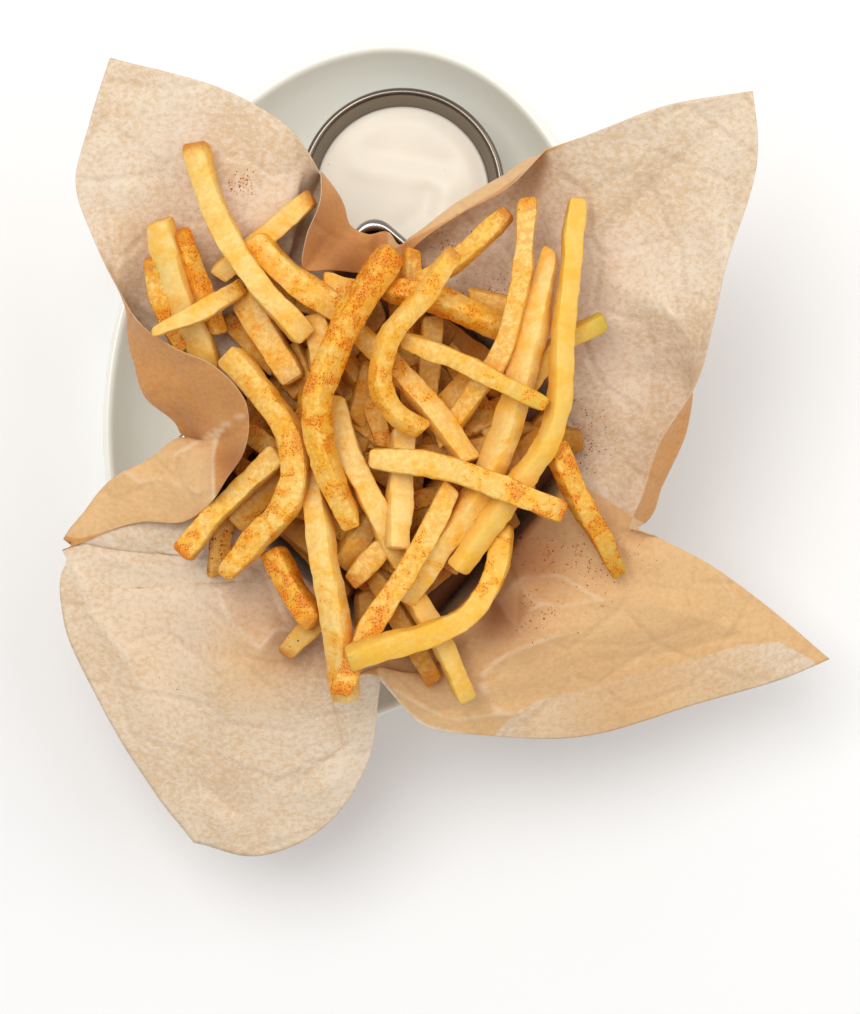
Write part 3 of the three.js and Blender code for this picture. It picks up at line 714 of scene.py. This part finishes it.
# Darker and browner than bare steel: painted reflection of the dark, warm surroundings that it shows.
cup_steel = steel_material("polished_steel", colour(104, 95, 84), colour(128, 118, 106), 0.008)
cup_roll = [(CUP_ROLL_R + CUP_ROLL * math.cos(a), CUP_ROLL_Z + CUP_ROLL * math.sin(a))
            for a in map(math.radians, CUP_ROLL_DEGREES)]
cup_bm = spun([
    (0, CUP_BASE_Z), (CUP_BASE_R - 3, CUP_BASE_Z), (CUP_BASE_R - 2, CUP_BASE_Z),
    (CUP_BASE_R - 0.8, CUP_BASE_Z + 0.5), (CUP_BASE_R - 0.1, CUP_BASE_Z + 1.6),
    (CUP_BASE_R + 0.3, CUP_BASE_Z + 3), (CUP_ROLL_R - 1.4, CUP_ROLL_Z - 3),
    (CUP_ROLL_R - 0.8, CUP_ROLL_Z - 1.6), *cup_roll,
    (CUP_ROLL_R - CUP_ROLL - 0.3, CUP_ROLL_Z - 1), (CUP_INSIDE_R + 0.4, CUP_FLOOR_Z + 3),
    (CUP_INSIDE_R - 0.1, CUP_FLOOR_Z + 1.7), (CUP_INSIDE_R - 0.8, CUP_FLOOR_Z + 0.6),
    (CUP_INSIDE_R - 2, CUP_FLOOR_Z), (CUP_INSIDE_R - 4, CUP_FLOOR_Z), (0, CUP_FLOOR_Z),
])
placed(cup_bm, CUP_AT, 0)
finished("sauce_cup", cup_bm, cup_steel, "dip_cup")


# Dip: thick mayonnaise sauce with a little paprika, spooned in and left with a soft swirl.
# It fills the cup up to the level that shows, and its edge reaches just into the cup's wall.
DIP_Z = 27
DIP_R = 31.7
DIP_RINGS = 40
MENISCUS = 0.5
MENISCUS_REACH = 1.2
STROKES_CLEAR = 6

# Strokes of the spoon: how far each stands up or sinks and how far it reaches, in millimetres, then x, y of
# its points in the frame's pixels.
DIP_STROKES = (
    (1.2, 5, 362, 166, 395, 170, 445, 182), (-1.1, 5, 375, 156, 405, 161, 440, 168),
    (1.1, 5, 412, 238, 438, 224, 447, 200), (-1.0, 4, 405, 228, 424, 214, 428, 192),
    (0.8, 6, 430, 130, 460, 150, 470, 180), (0.7, 6, 350, 140, 385, 120, 420, 118),
)

cream, tree = blank_material("creamy_sauce")
place = in_millimetres(tree)
cream_clouds = clouds(tree, place, 0.06, 3.0)
cream_colour = mixed(tree, cream_clouds, colour(245, 236, 218), colour(251, 244, 229))
paprika = add(tree, "TexVoronoi", {"Vector": place, "Scale": 0.12, "Randomness": 1.0}).outputs["Distance"]
cream_colour = mixed(tree, ramped(tree, paprika, 0.07, 0.03, 0.0, 0.7), cream_colour, colour(226, 158, 92))
surfaced(cream, {
    "Base Color": cream_colour,
    "Roughness": ramped(tree, cream_clouds, 0.3, 0.7, 0.4, 0.5),
    "Normal": bumped(tree, clouds(tree, place, 0.35, 2.0), 0.08, 0.4),
    "Subsurface Weight": 0.25,
    "Subsurface Radius": (1.0, 0.8, 0.5),
    "Subsurface Scale": 0.003,
})
dip_bm = spun([
    (0, CUP_FLOOR_Z + 0.3), (CUP_BASE_R - 4, CUP_FLOOR_Z + 0.3), (CUP_BASE_R - 2, CUP_FLOOR_Z + 2.4),
    *[(DIP_R * (1 - k / DIP_RINGS), DIP_Z) for k in range(DIP_RINGS + 1)],
])
dip_strokes = [(up, reach, pairs(points)) for up, reach, *points in DIP_STROKES]
for vert in dip_bm.verts:
    if vert.co.z > (DIP_Z - 1) * MM:
        r = math.hypot(vert.co.x, vert.co.y) / MM
        sight = seen_at(Vector((vert.co.x / MM + CUP_AT[0], vert.co.y / MM + CUP_AT[1], DIP_Z)))
        stroke = sum(up * math.exp(-(nearest(sight, line) / (reach * PX_PER_MM)) ** 2)
                     for up, reach, line in dip_strokes)
        meniscus = MENISCUS * math.exp(-(DIP_R - r) / MENISCUS_REACH)
        vert.co.z += (stroke * min(1, (DIP_R - r) / STROKES_CLEAR) + meniscus) * MM
placed(dip_bm, CUP_AT, 0)
finished("spooned_dip", dip_bm, cream, "dip")


# Fries: thin-cut potato sticks, fried gold, tossed in paprika, salt and pepper, and heaped loosely.
# Each starts as a bevelled stick, is bent along its own line, and gets its own width, ends and spice.
# Each row: width, yellowness, browning, spice at its start and end, the kind of each end,
# then x, y, z of the points that it bends through. Ends: c cut square, s slanted, t tapered, b browned,
# g green, f frayed round.
FRIES = (
    (7.9, .25, .25, .10, .30, "bs", -83, 95, 123, -75, 70, 120, -65, 53, 119, -47, 32, 112),
    (8.7, .55, .55, .95, .55, "bs", -18, 60, 118, -35, 32, 123, -43, 7, 124, -39, -13, 118, -32, -29, 110),
    (8.6, .45, .50, .35, .70, "ct", -73, 27, 110, -61, 13, 114, -51, -4, 116, -52, -20, 114, -64, -35, 109,
     -75, -47, 105),
    (8.4, .15, .20, .12, .35, "tc", 34, 61, 116, 27, 31, 117, 20, 4, 114, 11, -18, 110, -3, -37, 108,
     -15, -55, 104),
    (6.8, .75, .10, .02, .10, "fc", 42, 77, 122, 38, 37, 121, 33, -2, 118, 19, -22, 113, 3, -45, 110),
    (6.4, .50, .40, .45, .50, "bs", 2, 59, 130, -6, 47, 129, -20, 29, 127, -22, 16, 123, -17, 6, 120,
     -8, 1, 116),
    (8.2, .10, .25, .15, .45, "tc", -46, -10, 107, -42, -35, 111, -38, -58, 111, -34, -89, 102),
    (7.8, .80, .20, .70, .00, "bf", 18, -30, 106, 16, -45, 108, 7, -59, 112, -6, -66, 116, -21, -70, 120,
     -33, -74, 121),
    (6.5, .35, .60, .45, .30, "bs", 26, 77, 123, 23, 47, 121, 17, 26, 118, 7, 11, 112, -3, -2, 106),
    (7.4, .40, .50, .35, .85, "sb", 1, -17, 112, -6, -32, 114, -14, -46, 114, -24, -61, 112, -36, -86, 112),
    (8.0, .35, .35, .10, .80, "cb", -26, -8, 116, -12, -9, 117, 2, -12, 117, 18, -18, 119, 38, -26, 117),
    (7.6, .15, .25, .30, .15, "sc", -38, 13, 106, -33, -6, 109, -26, -20, 110, -15, -44, 103),
    (6.2, .55, .45, .20, .55, "sg", -15, 31, 118, 0, 25, 122, 14, 18, 124, 32, 9, 124),
    (8.8, .15, .15, .05, .30, "cs", -95, 70, 118, -88, 43, 107, -80, 23, 100),
    (7.2, .65, .60, .85, .70, "sg", 35, -2, 112, 44, -22, 105, 52, -35, 100, 58, -47, 97),
    (7.3, .35, .50, .30, .80, "sb", -56, -6, 110, -78, -27, 106, -89, -40, 104),
    (7.4, .30, .20, .15, .20, "bs", -45, 78, 116, -63, 64, 108, -77, 53, 105),
    (8.6, .45, .40, .45, .50, "sb", -65, 65, 114, -52, 52, 114, -34, 40, 111),
    (7.6, .08, .15, .15, .10, "cc", -15, 2, 106, -16, -19, 110, -17, -38, 113),
    (6.0, .55, .80, .75, .50, "bs", -88, 67, 117, -82, 48, 108, -77, 34, 102),
    (6.0, .75, .65, .10, .30, "bs", 20, 73, 118, 2, 57, 114, -10, 50, 110),
    (7.0, .45, .15, .25, .05, "sf", -13, -52, 102, -3, -68, 104, 7, -89, 101),
    (7.6, .60, .55, .85, .55, "bs", -21, 48, 114, -3, 44, 114, 18, 35, 111),
    (7.8, .35, .40, .60, .25, "ss", -18, 23, 110, -6, 9, 112, 7, -9, 110),
    (5.6, .50, .80, .40, .80, "bs", -98, 58, 114, -96, 45, 109, -89, 28, 104),
    (9.2, .25, .45, .45, .30, "sc", -69, 47, 103, -51, 18, 106),
    (6.5, .25, .25, .05, .55, "ts", -97, 33, 121, -82, 40, 117, -69, 49, 107),
    (7.0, .70, .20, .00, .10, "gs", 52, 38, 111, 37, 30, 110, 25, 15, 109),
    (8.0, .25, .35, .35, .20, "ss", -45, 40, 106, -41, 25, 108, -44, 8, 104),
    (7.0, .40, .50, .50, .50, "ss", -63, 59, 101, -50, 36, 99),
    (7.2, .45, .60, .70, .50, "ss", -75, 40, 96, -57, 22, 99),
    (6.0, .45, .55, .50, .50, "ss", -52, 31, 98, -47, 15, 100, -50, -1, 100),
    (8.2, .60, .75, .90, .85, "sb", -59, -38, 102, -51, -53, 104, -44, -63, 106),
    (7.6, .50, .60, .40, .40, "ss", -25, 26, 96, -32, 4, 98),
    (7.6, .40, .50, .30, .40, "ss", -5, 40, 102, -7, 12, 100),
    (7.0, .50, .60, .50, .40, "ss", -75, -23, 96, -78, -47, 96),
    (6.6, .60, .80, .30, .40, "sb", -19, -57, 98, -4, -83, 97),
    (7.2, .45, .50, .30, .30, "ss", -37, -43, 98, -24, -26, 100),
    (7.4, .50, .55, .50, .50, "ss", -72, -30, 98, -55, -12, 98),
    (7.6, .45, .50, .40, .40, "ss", -6, 4, 101, 9, 20, 103),
    (7.4, .55, .20, .05, .05, "sb", -41, -59, 98, -55, -74, 99),
    (7.6, .35, .60, .45, .25, "bs", -33, -49, 103, -21, -37, 105),
    (7.2, .50, .50, .30, .50, "ss", -28, -52, 93, -27, -69, 92),
    (8.4, .40, .50, .60, .40, "ss", -42, 50, 107, -24, 45, 106),
    (7.2, .45, .55, .50, .40, "ss", -32, 36, 106, -14, 20, 105),
    (6.6, .60, .60, .30, .30, "ss", 7, 46, 106, 24, 42, 106),
    (7.4, .45, .60, .60, .50, "ss", -68, 2, 98, -56, -7, 100),
    (7.2, .45, .50, .40, .30, "ss", -26, -45, 97, -18, -57, 96),
    (6.0, .50, .50, .40, .40, "ss", -51, 45, 100, -38, 40, 102),
    (5.8, .60, .80, .50, .40, "bs", -12, 62, 104, -12, 45, 108),
)
TOP_FRIES = 25
LINE_STEPS = 60
RING_STEP = 2.0
FRY_EDGE_BEVEL = 0.15
FRY_CAP_BEVEL = 0.2
FRY_SHARP_DEGREES = 28

# How far a fry twists at its start and along 90 mm, and how thick it is for its width.
TWIST = 0.5
TURNING = 0.9
TURNING_OVER = 90
THICKNESSES = (0.84, 1.0)

# How far from an end its slant, its browning and its greening reach, and its taper if sharp or blunt.
SLANT_REACH = 6
BROWN_REACH = 5
GREEN_REACH = 9
TAPER_REACHES = (8, 3.5)
SHARP_END = 0.8

# Lower than this a fry gets darker, as painted shade deep in the heap, down to its darkest this much
# further down.
DEEP_FROM_Z = 108
DEEP_OVER = 16

# What each vertex of a fry keeps: how spiced, browned, yellow, green and ridged it is, how low on the fry
# it lies, for painted shade on its underside, and how deep in the heap, for painted shade in the gaps.
FRY_LAYERS = ("spice", "brown", "yellow", "green", "ridge", "low", "painted_gap_shade")

# How much each kind of end narrows, browns, greens and slants.
FRY_ENDS = {
    "c": (0.93, 0.15, 0.0, 0.1), "s": (0.9, 0.35, 0.0, 0.5), "t": (0.5, 0.3, 0.0, 0.3),
    "b": (0.85, 1.0, 0.0, 0.25), "g": (0.72, 0.25, 1.0, 0.1), "f": (0.86, 0.1, 0.25, 0.0),
}


def fry_bm(row, seed):
    """One fry as a bmesh in metres, with its browning, spice and colour kept at each vertex."""
    width, yellow, brown, spice_start, spice_end, ends, *numbers = row
    bends = [Vector(p) for p in zip(numbers[0::3], numbers[1::3], numbers[2::3])]
    fine = [through(bends, t * (len(bends) - 1) / LINE_STEPS) for t in range(LINE_STEPS + 1)]
    runs = [0.0]
    for a, b in zip(fine, fine[1:]):
        runs.append(runs[-1] + (b - a).length)
    length = runs[-1]
    bm = bmesh.new()
    bmesh.ops.create_cube(bm, size=1)
    bmesh.ops.scale(bm, verts=bm.verts, vec=(length, width, width))
    bmesh.ops.translate(bm, verts=bm.verts, vec=(length / 2, 0, 0))
    long_edges = [e for e in bm.edges if abs(e.verts[0].co.x - e.verts[1].co.x) > 1]
    bmesh.ops.bevel(bm, geom=long_edges, offset=FRY_EDGE_BEVEL * width, offset_type="OFFSET",
                    affect="EDGES", segments=2, profile=0.5, material=-1)
    caps = [f for f in bm.faces if abs(f.normal.x) > 0.9]
    cap_edges = {e for f in caps for e in f.edges}
    bmesh.ops.bevel(bm, geom=list(cap_edges), offset=FRY_CAP_BEVEL * width, offset_type="OFFSET",
                    affect="EDGES", segments=2, profile=0.5, material=-1)
    long_edges = [e for e in bm.edges if abs(e.verts[0].co.x - e.verts[1].co.x) > length / 2]
    cuts = max(2, round(length / RING_STEP))
    bmesh.ops.subdivide_edges(bm, edges=long_edges, cuts=cuts, use_grid_fill=True)
    layers = {name: bm.verts.layers.float.new(name) for name in FRY_LAYERS}
    chance = random.Random(seed)
    twist = chance.uniform(-TWIST, TWIST)
    turning = chance.uniform(-TURNING, TURNING) / TURNING_OVER
    thickness = chance.uniform(*THICKNESSES)
    slants = [chance.uniform(-1, 1) * FRY_ENDS[e][3] for e in ends]
    shift = Vector((seed * 7.3, seed * 3.1, seed * 1.7))
    half = width / 2
    for vert in bm.verts:
        run, side, rise = vert.co
        from_start, from_end = run, length - run
        at_end = from_end < from_start
        gap = from_end if at_end else from_start
        narrow, browned, greened, _ = FRY_ENDS[ends[1 if at_end else 0]]
        near = math.exp(-max(0, gap) / BROWN_REACH)
        slope = slants[1 if at_end else 0]
        run += slope * side * max(0, 1 - gap / SLANT_REACH)
        taper_reach = TAPER_REACHES[0 if narrow < SHARP_END else 1]
        taper = 1 - (1 - narrow) * math.exp(-max(0, gap) / taper_reach)
        waver = 1 + 0.16 * noise.noise(Vector((run / 15, 0, 0)) + shift)
        flat = thickness + 0.14 * noise.noise(Vector((run / 19, 5, 0)) + shift)
        angle = twist + turning * run
        y = side * taper * waver
        z = rise * taper * flat
        y, z = y * math.cos(angle) - z * math.sin(angle), y * math.sin(angle) + z * math.cos(angle)
        place = max(0, min(length, run))
        k = max(0, min(len(fine) - 2, sum(1 for r in runs[1:] if r < place)))
        t = (place - runs[k]) / max(1e-6, runs[k + 1] - runs[k])
        at = fine[k].lerp(fine[k + 1], t)
        low, high = fine[max(0, k - 1)], fine[min(len(fine) - 1, k + 2)]
        tangent = (high - low).normalized()
        aside = tangent.cross(Vector((0, 0, 1))).normalized()
        over = aside.cross(tangent)
        point = at + tangent * (run - place) + aside * y + over * z
        rough = 0.35 * noise.noise(point / 2.2 + shift) + 0.7 * noise.noise(point / 8 + shift)
        point += (aside * y + over * z).normalized() * rough
        vert.co = point * MM
        corner = abs(side * rise) / (half * half)
        part = run / length
        vert[layers["spice"]] = spice_start + (spice_end - spice_start) * part
        vert[layers["brown"]] = min(1, browned * near + 0.3 * brown)
        vert[layers["green"]] = greened * math.exp(-max(0, gap) / GREEN_REACH)
        vert[layers["yellow"]] = yellow
        vert[layers["ridge"]] = min(1, corner * 1.6) * brown
        # How low on the fry this lies, for painted shade on its underside.
        vert[layers["low"]] = max(0, min(1, 0.5 - z / width))
        # How deep in the heap this lies, for painted shade.
        vert[layers["painted_gap_shade"]] = max(0, min(1, (DEEP_FROM_Z - point.z) / DEEP_OVER))
    bmesh.ops.recalc_face_normals(bm, faces=bm.faces)
    return bm


def heaped(rows, first_seed):
    """Joins the fries of several rows in one bmesh."""
    heap = bmesh.new()
    for k, row in enumerate(rows):
        bm = fry_bm(row, first_seed + k)
        stick = bpy.data.meshes.new("one_fry")
        bm.to_mesh(stick)
        bm.free()
        heap.from_mesh(stick)
        bpy.data.meshes.remove(stick)
    return heap


fried, tree = blank_material("fried_potato")
place = in_millimetres(tree)
spice, brown, yellow, green, ridge, low, painted_gap_shade = (kept(tree, name) for name in FRY_LAYERS)
fry_colour = mixed(tree, yellow, colour(250, 220, 142), colour(245, 200, 88))
patches = clouds(tree, place, 0.13, 4.0, 0.6, 0.6)
fry_colour = mixed(tree, ramped(tree, patches, 0.4, 0.66, 0.0, 0.7), fry_colour, colour(247, 188, 52))
# Painted shade: each fry's underside deeper and more orange.
fry_colour = mixed(tree, joined(tree, "MULTIPLY", low, 0.8), fry_colour, colour(230, 150, 22))
skin = clouds(tree, place, 0.6, 4.0, 0.65)
ridge_brown = joined(tree, "MULTIPLY", ridge, ramped(tree, skin, 0.4, 0.58))
fry_colour = mixed(tree, joined(tree, "MULTIPLY", ridge_brown, 0.7), fry_colour, colour(218, 128, 18))
browned = joined(tree, "ADD", brown, joined(tree, "MULTIPLY", skin, 0.5))
fry_colour = mixed(tree, ramped(tree, browned, 0.7, 1.25, 0.0, 0.75), fry_colour, colour(196, 110, 14))
fry_colour = mixed(tree, joined(tree, "MULTIPLY", green, 0.75), fry_colour, colour(188, 172, 56))
dust_clouds = clouds(tree, place, 0.17, 4.0, 0.65, 0.5)
thick_dust = joined(tree, "ADD", joined(tree, "MULTIPLY", spice, 0.62),
                    ramped(tree, dust_clouds, 0.36, 0.64, 0, 0.5))
dusted = ramped(tree, thick_dust, 0.42, 0.82)
grain_noise = clouds(tree, place, 1.7, 2.0, 0.6)
orange_dust = joined(tree, "MULTIPLY", dusted, ramped(tree, grain_noise, 0.3, 0.6, 0.3, 1.0))
dust_tint = mixed(tree, ramped(tree, thick_dust, 0.6, 1.0), colour(248, 176, 18), colour(232, 128, 2))
fry_colour = mixed(tree, joined(tree, "MULTIPLY", orange_dust, 0.95), fry_colour, dust_tint)
specks = add(tree, "TexVoronoi", {"Vector": place, "Scale": 1.25, "Randomness": 1.0})
near_speck = joined(tree, "ADD", dusted, joined(tree, "MULTIPLY", spice, 0.2))
speck_reach = joined(tree, "MULTIPLY", near_speck, 0.4)
speck = ramped(tree, joined(tree, "SUBTRACT", speck_reach, specks.outputs["Distance"]), 0.0, 0.25)
speck_tint = mixed(tree, clouds(tree, place, 0.9, 1.0), colour(222, 112, 6), colour(160, 66, 4))
fry_colour = mixed(tree, joined(tree, "MULTIPLY", speck, 0.9), fry_colour, speck_tint)
# Painted shade: fries low in the heap darkened towards deep brown.
fry_colour = mixed(tree, joined(tree, "MULTIPLY", painted_gap_shade, 0.72), fry_colour, colour(142, 68, 2))
fry_relief = joined(tree, "ADD", joined(tree, "MULTIPLY", skin, 0.8), joined(tree, "MULTIPLY", speck, 0.2))
surfaced(fried, {
    "Base Color": fry_colour,
    "Roughness": ramped(tree, skin, 0.3, 0.7, 0.4, 0.62),
    "Normal": bumped(tree, fry_relief, 0.7, 0.55),
    "Subsurface Weight": 0.18,
    "Subsurface Radius": (1.0, 0.4, 0.08),
    "Subsurface Scale": 0.0022,
    "Specular IOR Level": 0.28,
})

top_fries = finished("fries_on_top", heaped(FRIES[:TOP_FRIES], 1), fried, "fries")
low_fries = finished("fries_below", heaped(FRIES[TOP_FRIES:], 60), fried, "fries")

# Fries that only show in the gaps lie at random in the mouth of the container, clear of its paper.
FILL_FRIES = 90
FILL_SEED = 7
FILL_ZS = (84, 97)
FILL_SPREAD = 44
FILL_REACHES = (16, 34)
FILL_TILT = 4
FILL_CLEAR = 7
FILL_ARCH = 1.5
FILL_WIDTHS = (6.2, 8.2)

chance = random.Random(FILL_SEED)
tin_turn = math.radians(TIN_TURN)
fill_rows = []
while len(fill_rows) < FILL_FRIES:
    z = chance.uniform(*FILL_ZS)
    u, v = (chance.uniform(-FILL_SPREAD, FILL_SPREAD) for _ in range(2))
    heading = chance.uniform(0, math.pi)
    reach = chance.uniform(*FILL_REACHES)
    tilt = chance.uniform(-FILL_TILT, FILL_TILT)
    du, dv = reach * math.cos(heading), reach * math.sin(heading)
    room = inside_half(min(z, ROLL_Z)) - FILL_CLEAR
    if max(abs(u + du), abs(u - du), abs(v + dv), abs(v - dv)) > room:
        continue
    points = []
    for share in (-1, 0, 1):
        a, b = u + share * du, v + share * dv
        points += [TIN_AT[0] + a * math.cos(tin_turn) - b * math.sin(tin_turn),
                   TIN_AT[1] + a * math.sin(tin_turn) + b * math.cos(tin_turn),
                   z + share * tilt + (FILL_ARCH if share == 0 else 0)]
    fill_rows.append((chance.uniform(*FILL_WIDTHS), chance.uniform(0.3, 0.7), chance.uniform(0.4, 0.9),
                      chance.uniform(0.2, 0.8), chance.uniform(0.2, 0.8), "ss", *points))
gap_fries = finished("fries_in_the_gaps", heaped(fill_rows, 200), fried, "fries")
for piece in (top_fries, low_fries, gap_fries):
    piece.data.set_sharp_from_angle(angle=math.radians(FRY_SHARP_DEGREES))


# Under them the heap is one core of packed fries that fills the container, coloured dark brown as painted
# shade.
# It is a rounded square tapered to the container's floor, and only shows at the bottom of the gaps.
# Each level is half its width there, and its height.
CORE_LEVELS = ((27, 9.4), (36, 30), (44, 60), (48, 82), (44, 88), (30, 91), (10, 92))

core, tree = blank_material("fries_in_painted_shade")
core_streaks = clouds(tree, in_millimetres(tree, (1.0, 0.35, 0.5)), 0.16, 3.0, 0.6)
surfaced(core, {
    # Its colour is painted shade: the fries deep in the heap, dark brown.
    "Base Color": mixed(tree, core_streaks, colour(54, 21, 1), colour(116, 60, 8)),
    "Roughness": 0.7,
    "Normal": bumped(tree, core_streaks, 1.5, 0.6),
})
half, z = CORE_LEVELS[0]
core_bm = rounded_square(half, TIN_CORNER, 4, z)
ring = core_bm.edges[:]
for next_half, z in CORE_LEVELS[1:]:
    ring, verts = drawn_up(core_bm, ring, z)
    for vert in verts:
        vert.co.x *= next_half / half
        vert.co.y *= next_half / half
    half = next_half
bmesh.ops.holes_fill(core_bm, edges=ring)
bmesh.ops.recalc_face_normals(core_bm, faces=core_bm.faces)
placed(core_bm, TIN_AT, TIN_TURN)
finished("packed_core", core_bm, core, "fries")


# Spice: coarse paprika, cracked pepper and salt, shaken over the heap and the top of the paper.
# Each grain is a ball of 20 faces, pressed a little into the face it lies on; all are one mesh.
GRAIN_SEED = 23
GRAINS = 6500
GRAIN_SIZES = (0.16, 0.42)
PAPER_GRAINS = 700
PAPER_GRAIN_SIZES = (0.1, 0.26)
GRAIN_CLUMPS = 5
GRAIN_LIFT = 0.2
LEAST_UPWARD = 0.25

# How much spice falls where none was put: a little on every fry, and less than none on the paper.
EVERYWHERE = 0.06
PAPER_EVERYWHERE = -0.05

# Paprika, dark paprika, pepper and salt: their colours, and how many of the grains are each.
GRAIN_COLOURS = (colour(200, 90, 4), colour(142, 50, 4), colour(62, 30, 12), colour(240, 214, 168))
GRAIN_SHARES = (0.42, 0.4, 0.14, 0.04)

spice_mix, tree = blank_material("spice_mix")
tone = kept(tree, "tone")
spice_colour = GRAIN_COLOURS[0]
for k, next_colour in enumerate(GRAIN_COLOURS[1:]):
    spice_colour = mixed(tree, ramped(tree, tone, k + 0.4, k + 0.6), spice_colour, next_colour)
crumbly = clouds(tree, in_millimetres(tree), 4.0, 2.0)
surfaced(spice_mix, {
    "Base Color": mixed(tree, joined(tree, "MULTIPLY", crumbly, 0.5), spice_colour, colour(120, 52, 8)),
    "Roughness": 0.75,
    "Normal": bumped(tree, crumbly, 0.1, 0.5),
})


def upper_faces(piece, layer, everywhere, sizes):
    """The faces that spice can lie on: how much falls on each, its mesh and its sizes of grain."""
    mesh = piece.data
    amounts = [item.value for item in mesh.attributes[layer].data]
    faces = []
    for polygon in mesh.polygons:
        if polygon.normal.z < LEAST_UPWARD:
            continue
        amount = max(amounts[v] for v in polygon.vertices)
        clump = max(0.05, 0.5 + noise.noise(polygon.center / MM / GRAIN_CLUMPS))
        faces.append((polygon.area * max(0, amount + everywhere) * clump, polygon, mesh, sizes))
    return faces


chance = random.Random(GRAIN_SEED)
heap_faces = upper_faces(top_fries, "spice", EVERYWHERE, GRAIN_SIZES)
heap_faces += upper_faces(low_fries, "spice", EVERYWHERE, GRAIN_SIZES)
paper_faces = upper_faces(paper_sheet, "spilt", PAPER_EVERYWHERE, PAPER_GRAIN_SIZES)
spots = chance.choices(heap_faces, [face[0] for face in heap_faces], k=GRAINS)
spots += chance.choices(paper_faces, [face[0] for face in paper_faces], k=PAPER_GRAINS)
ball_bm = bmesh.new()
bmesh.ops.create_icosphere(ball_bm, subdivisions=1, radius=1)
ball = [v.co.copy() for v in ball_bm.verts]
ball_faces = [[v.index for v in face.verts] for face in ball_bm.faces]
ball_bm.free()
grain_bm = bmesh.new()
tone_layer = grain_bm.verts.layers.float.new("tone")
for _, polygon, mesh, sizes in spots:
    corners = [mesh.vertices[v].co for v in polygon.vertices]
    shares = [chance.random() for _ in corners]
    at = sum((c * s for c, s in zip(corners, shares)), Vector()) / sum(shares)
    size = chance.uniform(*sizes) * MM
    at += polygon.normal * size * GRAIN_LIFT
    stretch = Vector((chance.uniform(0.6, 1.4), chance.uniform(0.6, 1.4), chance.uniform(0.5, 0.8)))
    facing = polygon.normal.to_track_quat("Z", "Y").to_matrix()
    facing = facing @ Matrix.Rotation(chance.uniform(0, math.tau), 3, "Z")
    kind = chance.choices(range(len(GRAIN_COLOURS)), GRAIN_SHARES)[0]
    grain_verts = []
    for corner in ball:
        lump = Vector([c * s for c, s in zip(corner, stretch)]) * size * chance.uniform(0.8, 1.2)
        vert = grain_bm.verts.new(at + facing @ lump)
        vert[tone_layer] = kind
        grain_verts.append(vert)
    for face in ball_faces:
        grain_bm.faces.new([grain_verts[v] for v in face])
finished("spice_grains", grain_bm, spice_mix, "fries")


# Plain pale table, the camera straight above it, and soft studio light from the upper left.
# The camera's place is the one that the part's sizes were read from: 0.9 m above the table.
TABLE_SIZE = 4.0
CAMERA_AT = (-0.006, -0.024, 0.9)
CAMERA_LENS = 84.53
FOOD_AT = (0, 0, 0.08)
SKY = 0.58

table_white, tree = blank_material("pale_table")
grain = clouds(tree, in_millimetres(tree), 0.01, 2.0)
surfaced(table_white, {
    "Base Color": mixed(tree, grain, colour(249, 249, 249), colour(252, 252, 251)),
    "Roughness": 0.7,
})
table_bm = bmesh.new()
bmesh.ops.create_grid(table_bm, x_segments=2, y_segments=2, size=TABLE_SIZE / 2)
table_mesh = bpy.data.meshes.new("table")
table_bm.to_mesh(table_mesh)
table_bm.free()
table_mesh.materials.append(table_white)
table = bpy.data.objects.new("table", table_mesh)
scene.collection.objects.link(table)

camera_data = bpy.data.cameras.new("camera")
camera_data.lens = CAMERA_LENS
camera = bpy.data.objects.new("camera", camera_data)
camera.location = CAMERA_AT
scene.collection.objects.link(camera)
scene.camera = camera


def soft_light(name, at, size, power, tint):
    """A square softbox that faces the food."""
    data = bpy.data.lights.new(name, "AREA")
    data.size = size
    data.energy = power
    data.color = tint
    light = bpy.data.objects.new(name, data)
    light.location = at
    light.rotation_euler = (Vector(FOOD_AT) - Vector(at)).to_track_quat("-Z", "Y").to_euler()
    scene.collection.objects.link(light)


soft_light("key_light", (-0.34, 0.38, 1.38), 0.75, 9.1, (1.0, 0.99, 0.97))
soft_light("fill_light", (0.9, 0.3, 1.1), 1.2, 5.0, (1.0, 0.995, 0.985))

world = bpy.data.worlds.new("studio")
world.use_nodes = True
world.node_tree.nodes["Background"].inputs["Color"].default_value = (1.0, 1.0, 1.0, 1)
world.node_tree.nodes["Background"].inputs["Strength"].default_value = SKY
scene.world = world
scene.view_settings.view_transform = "Standard"
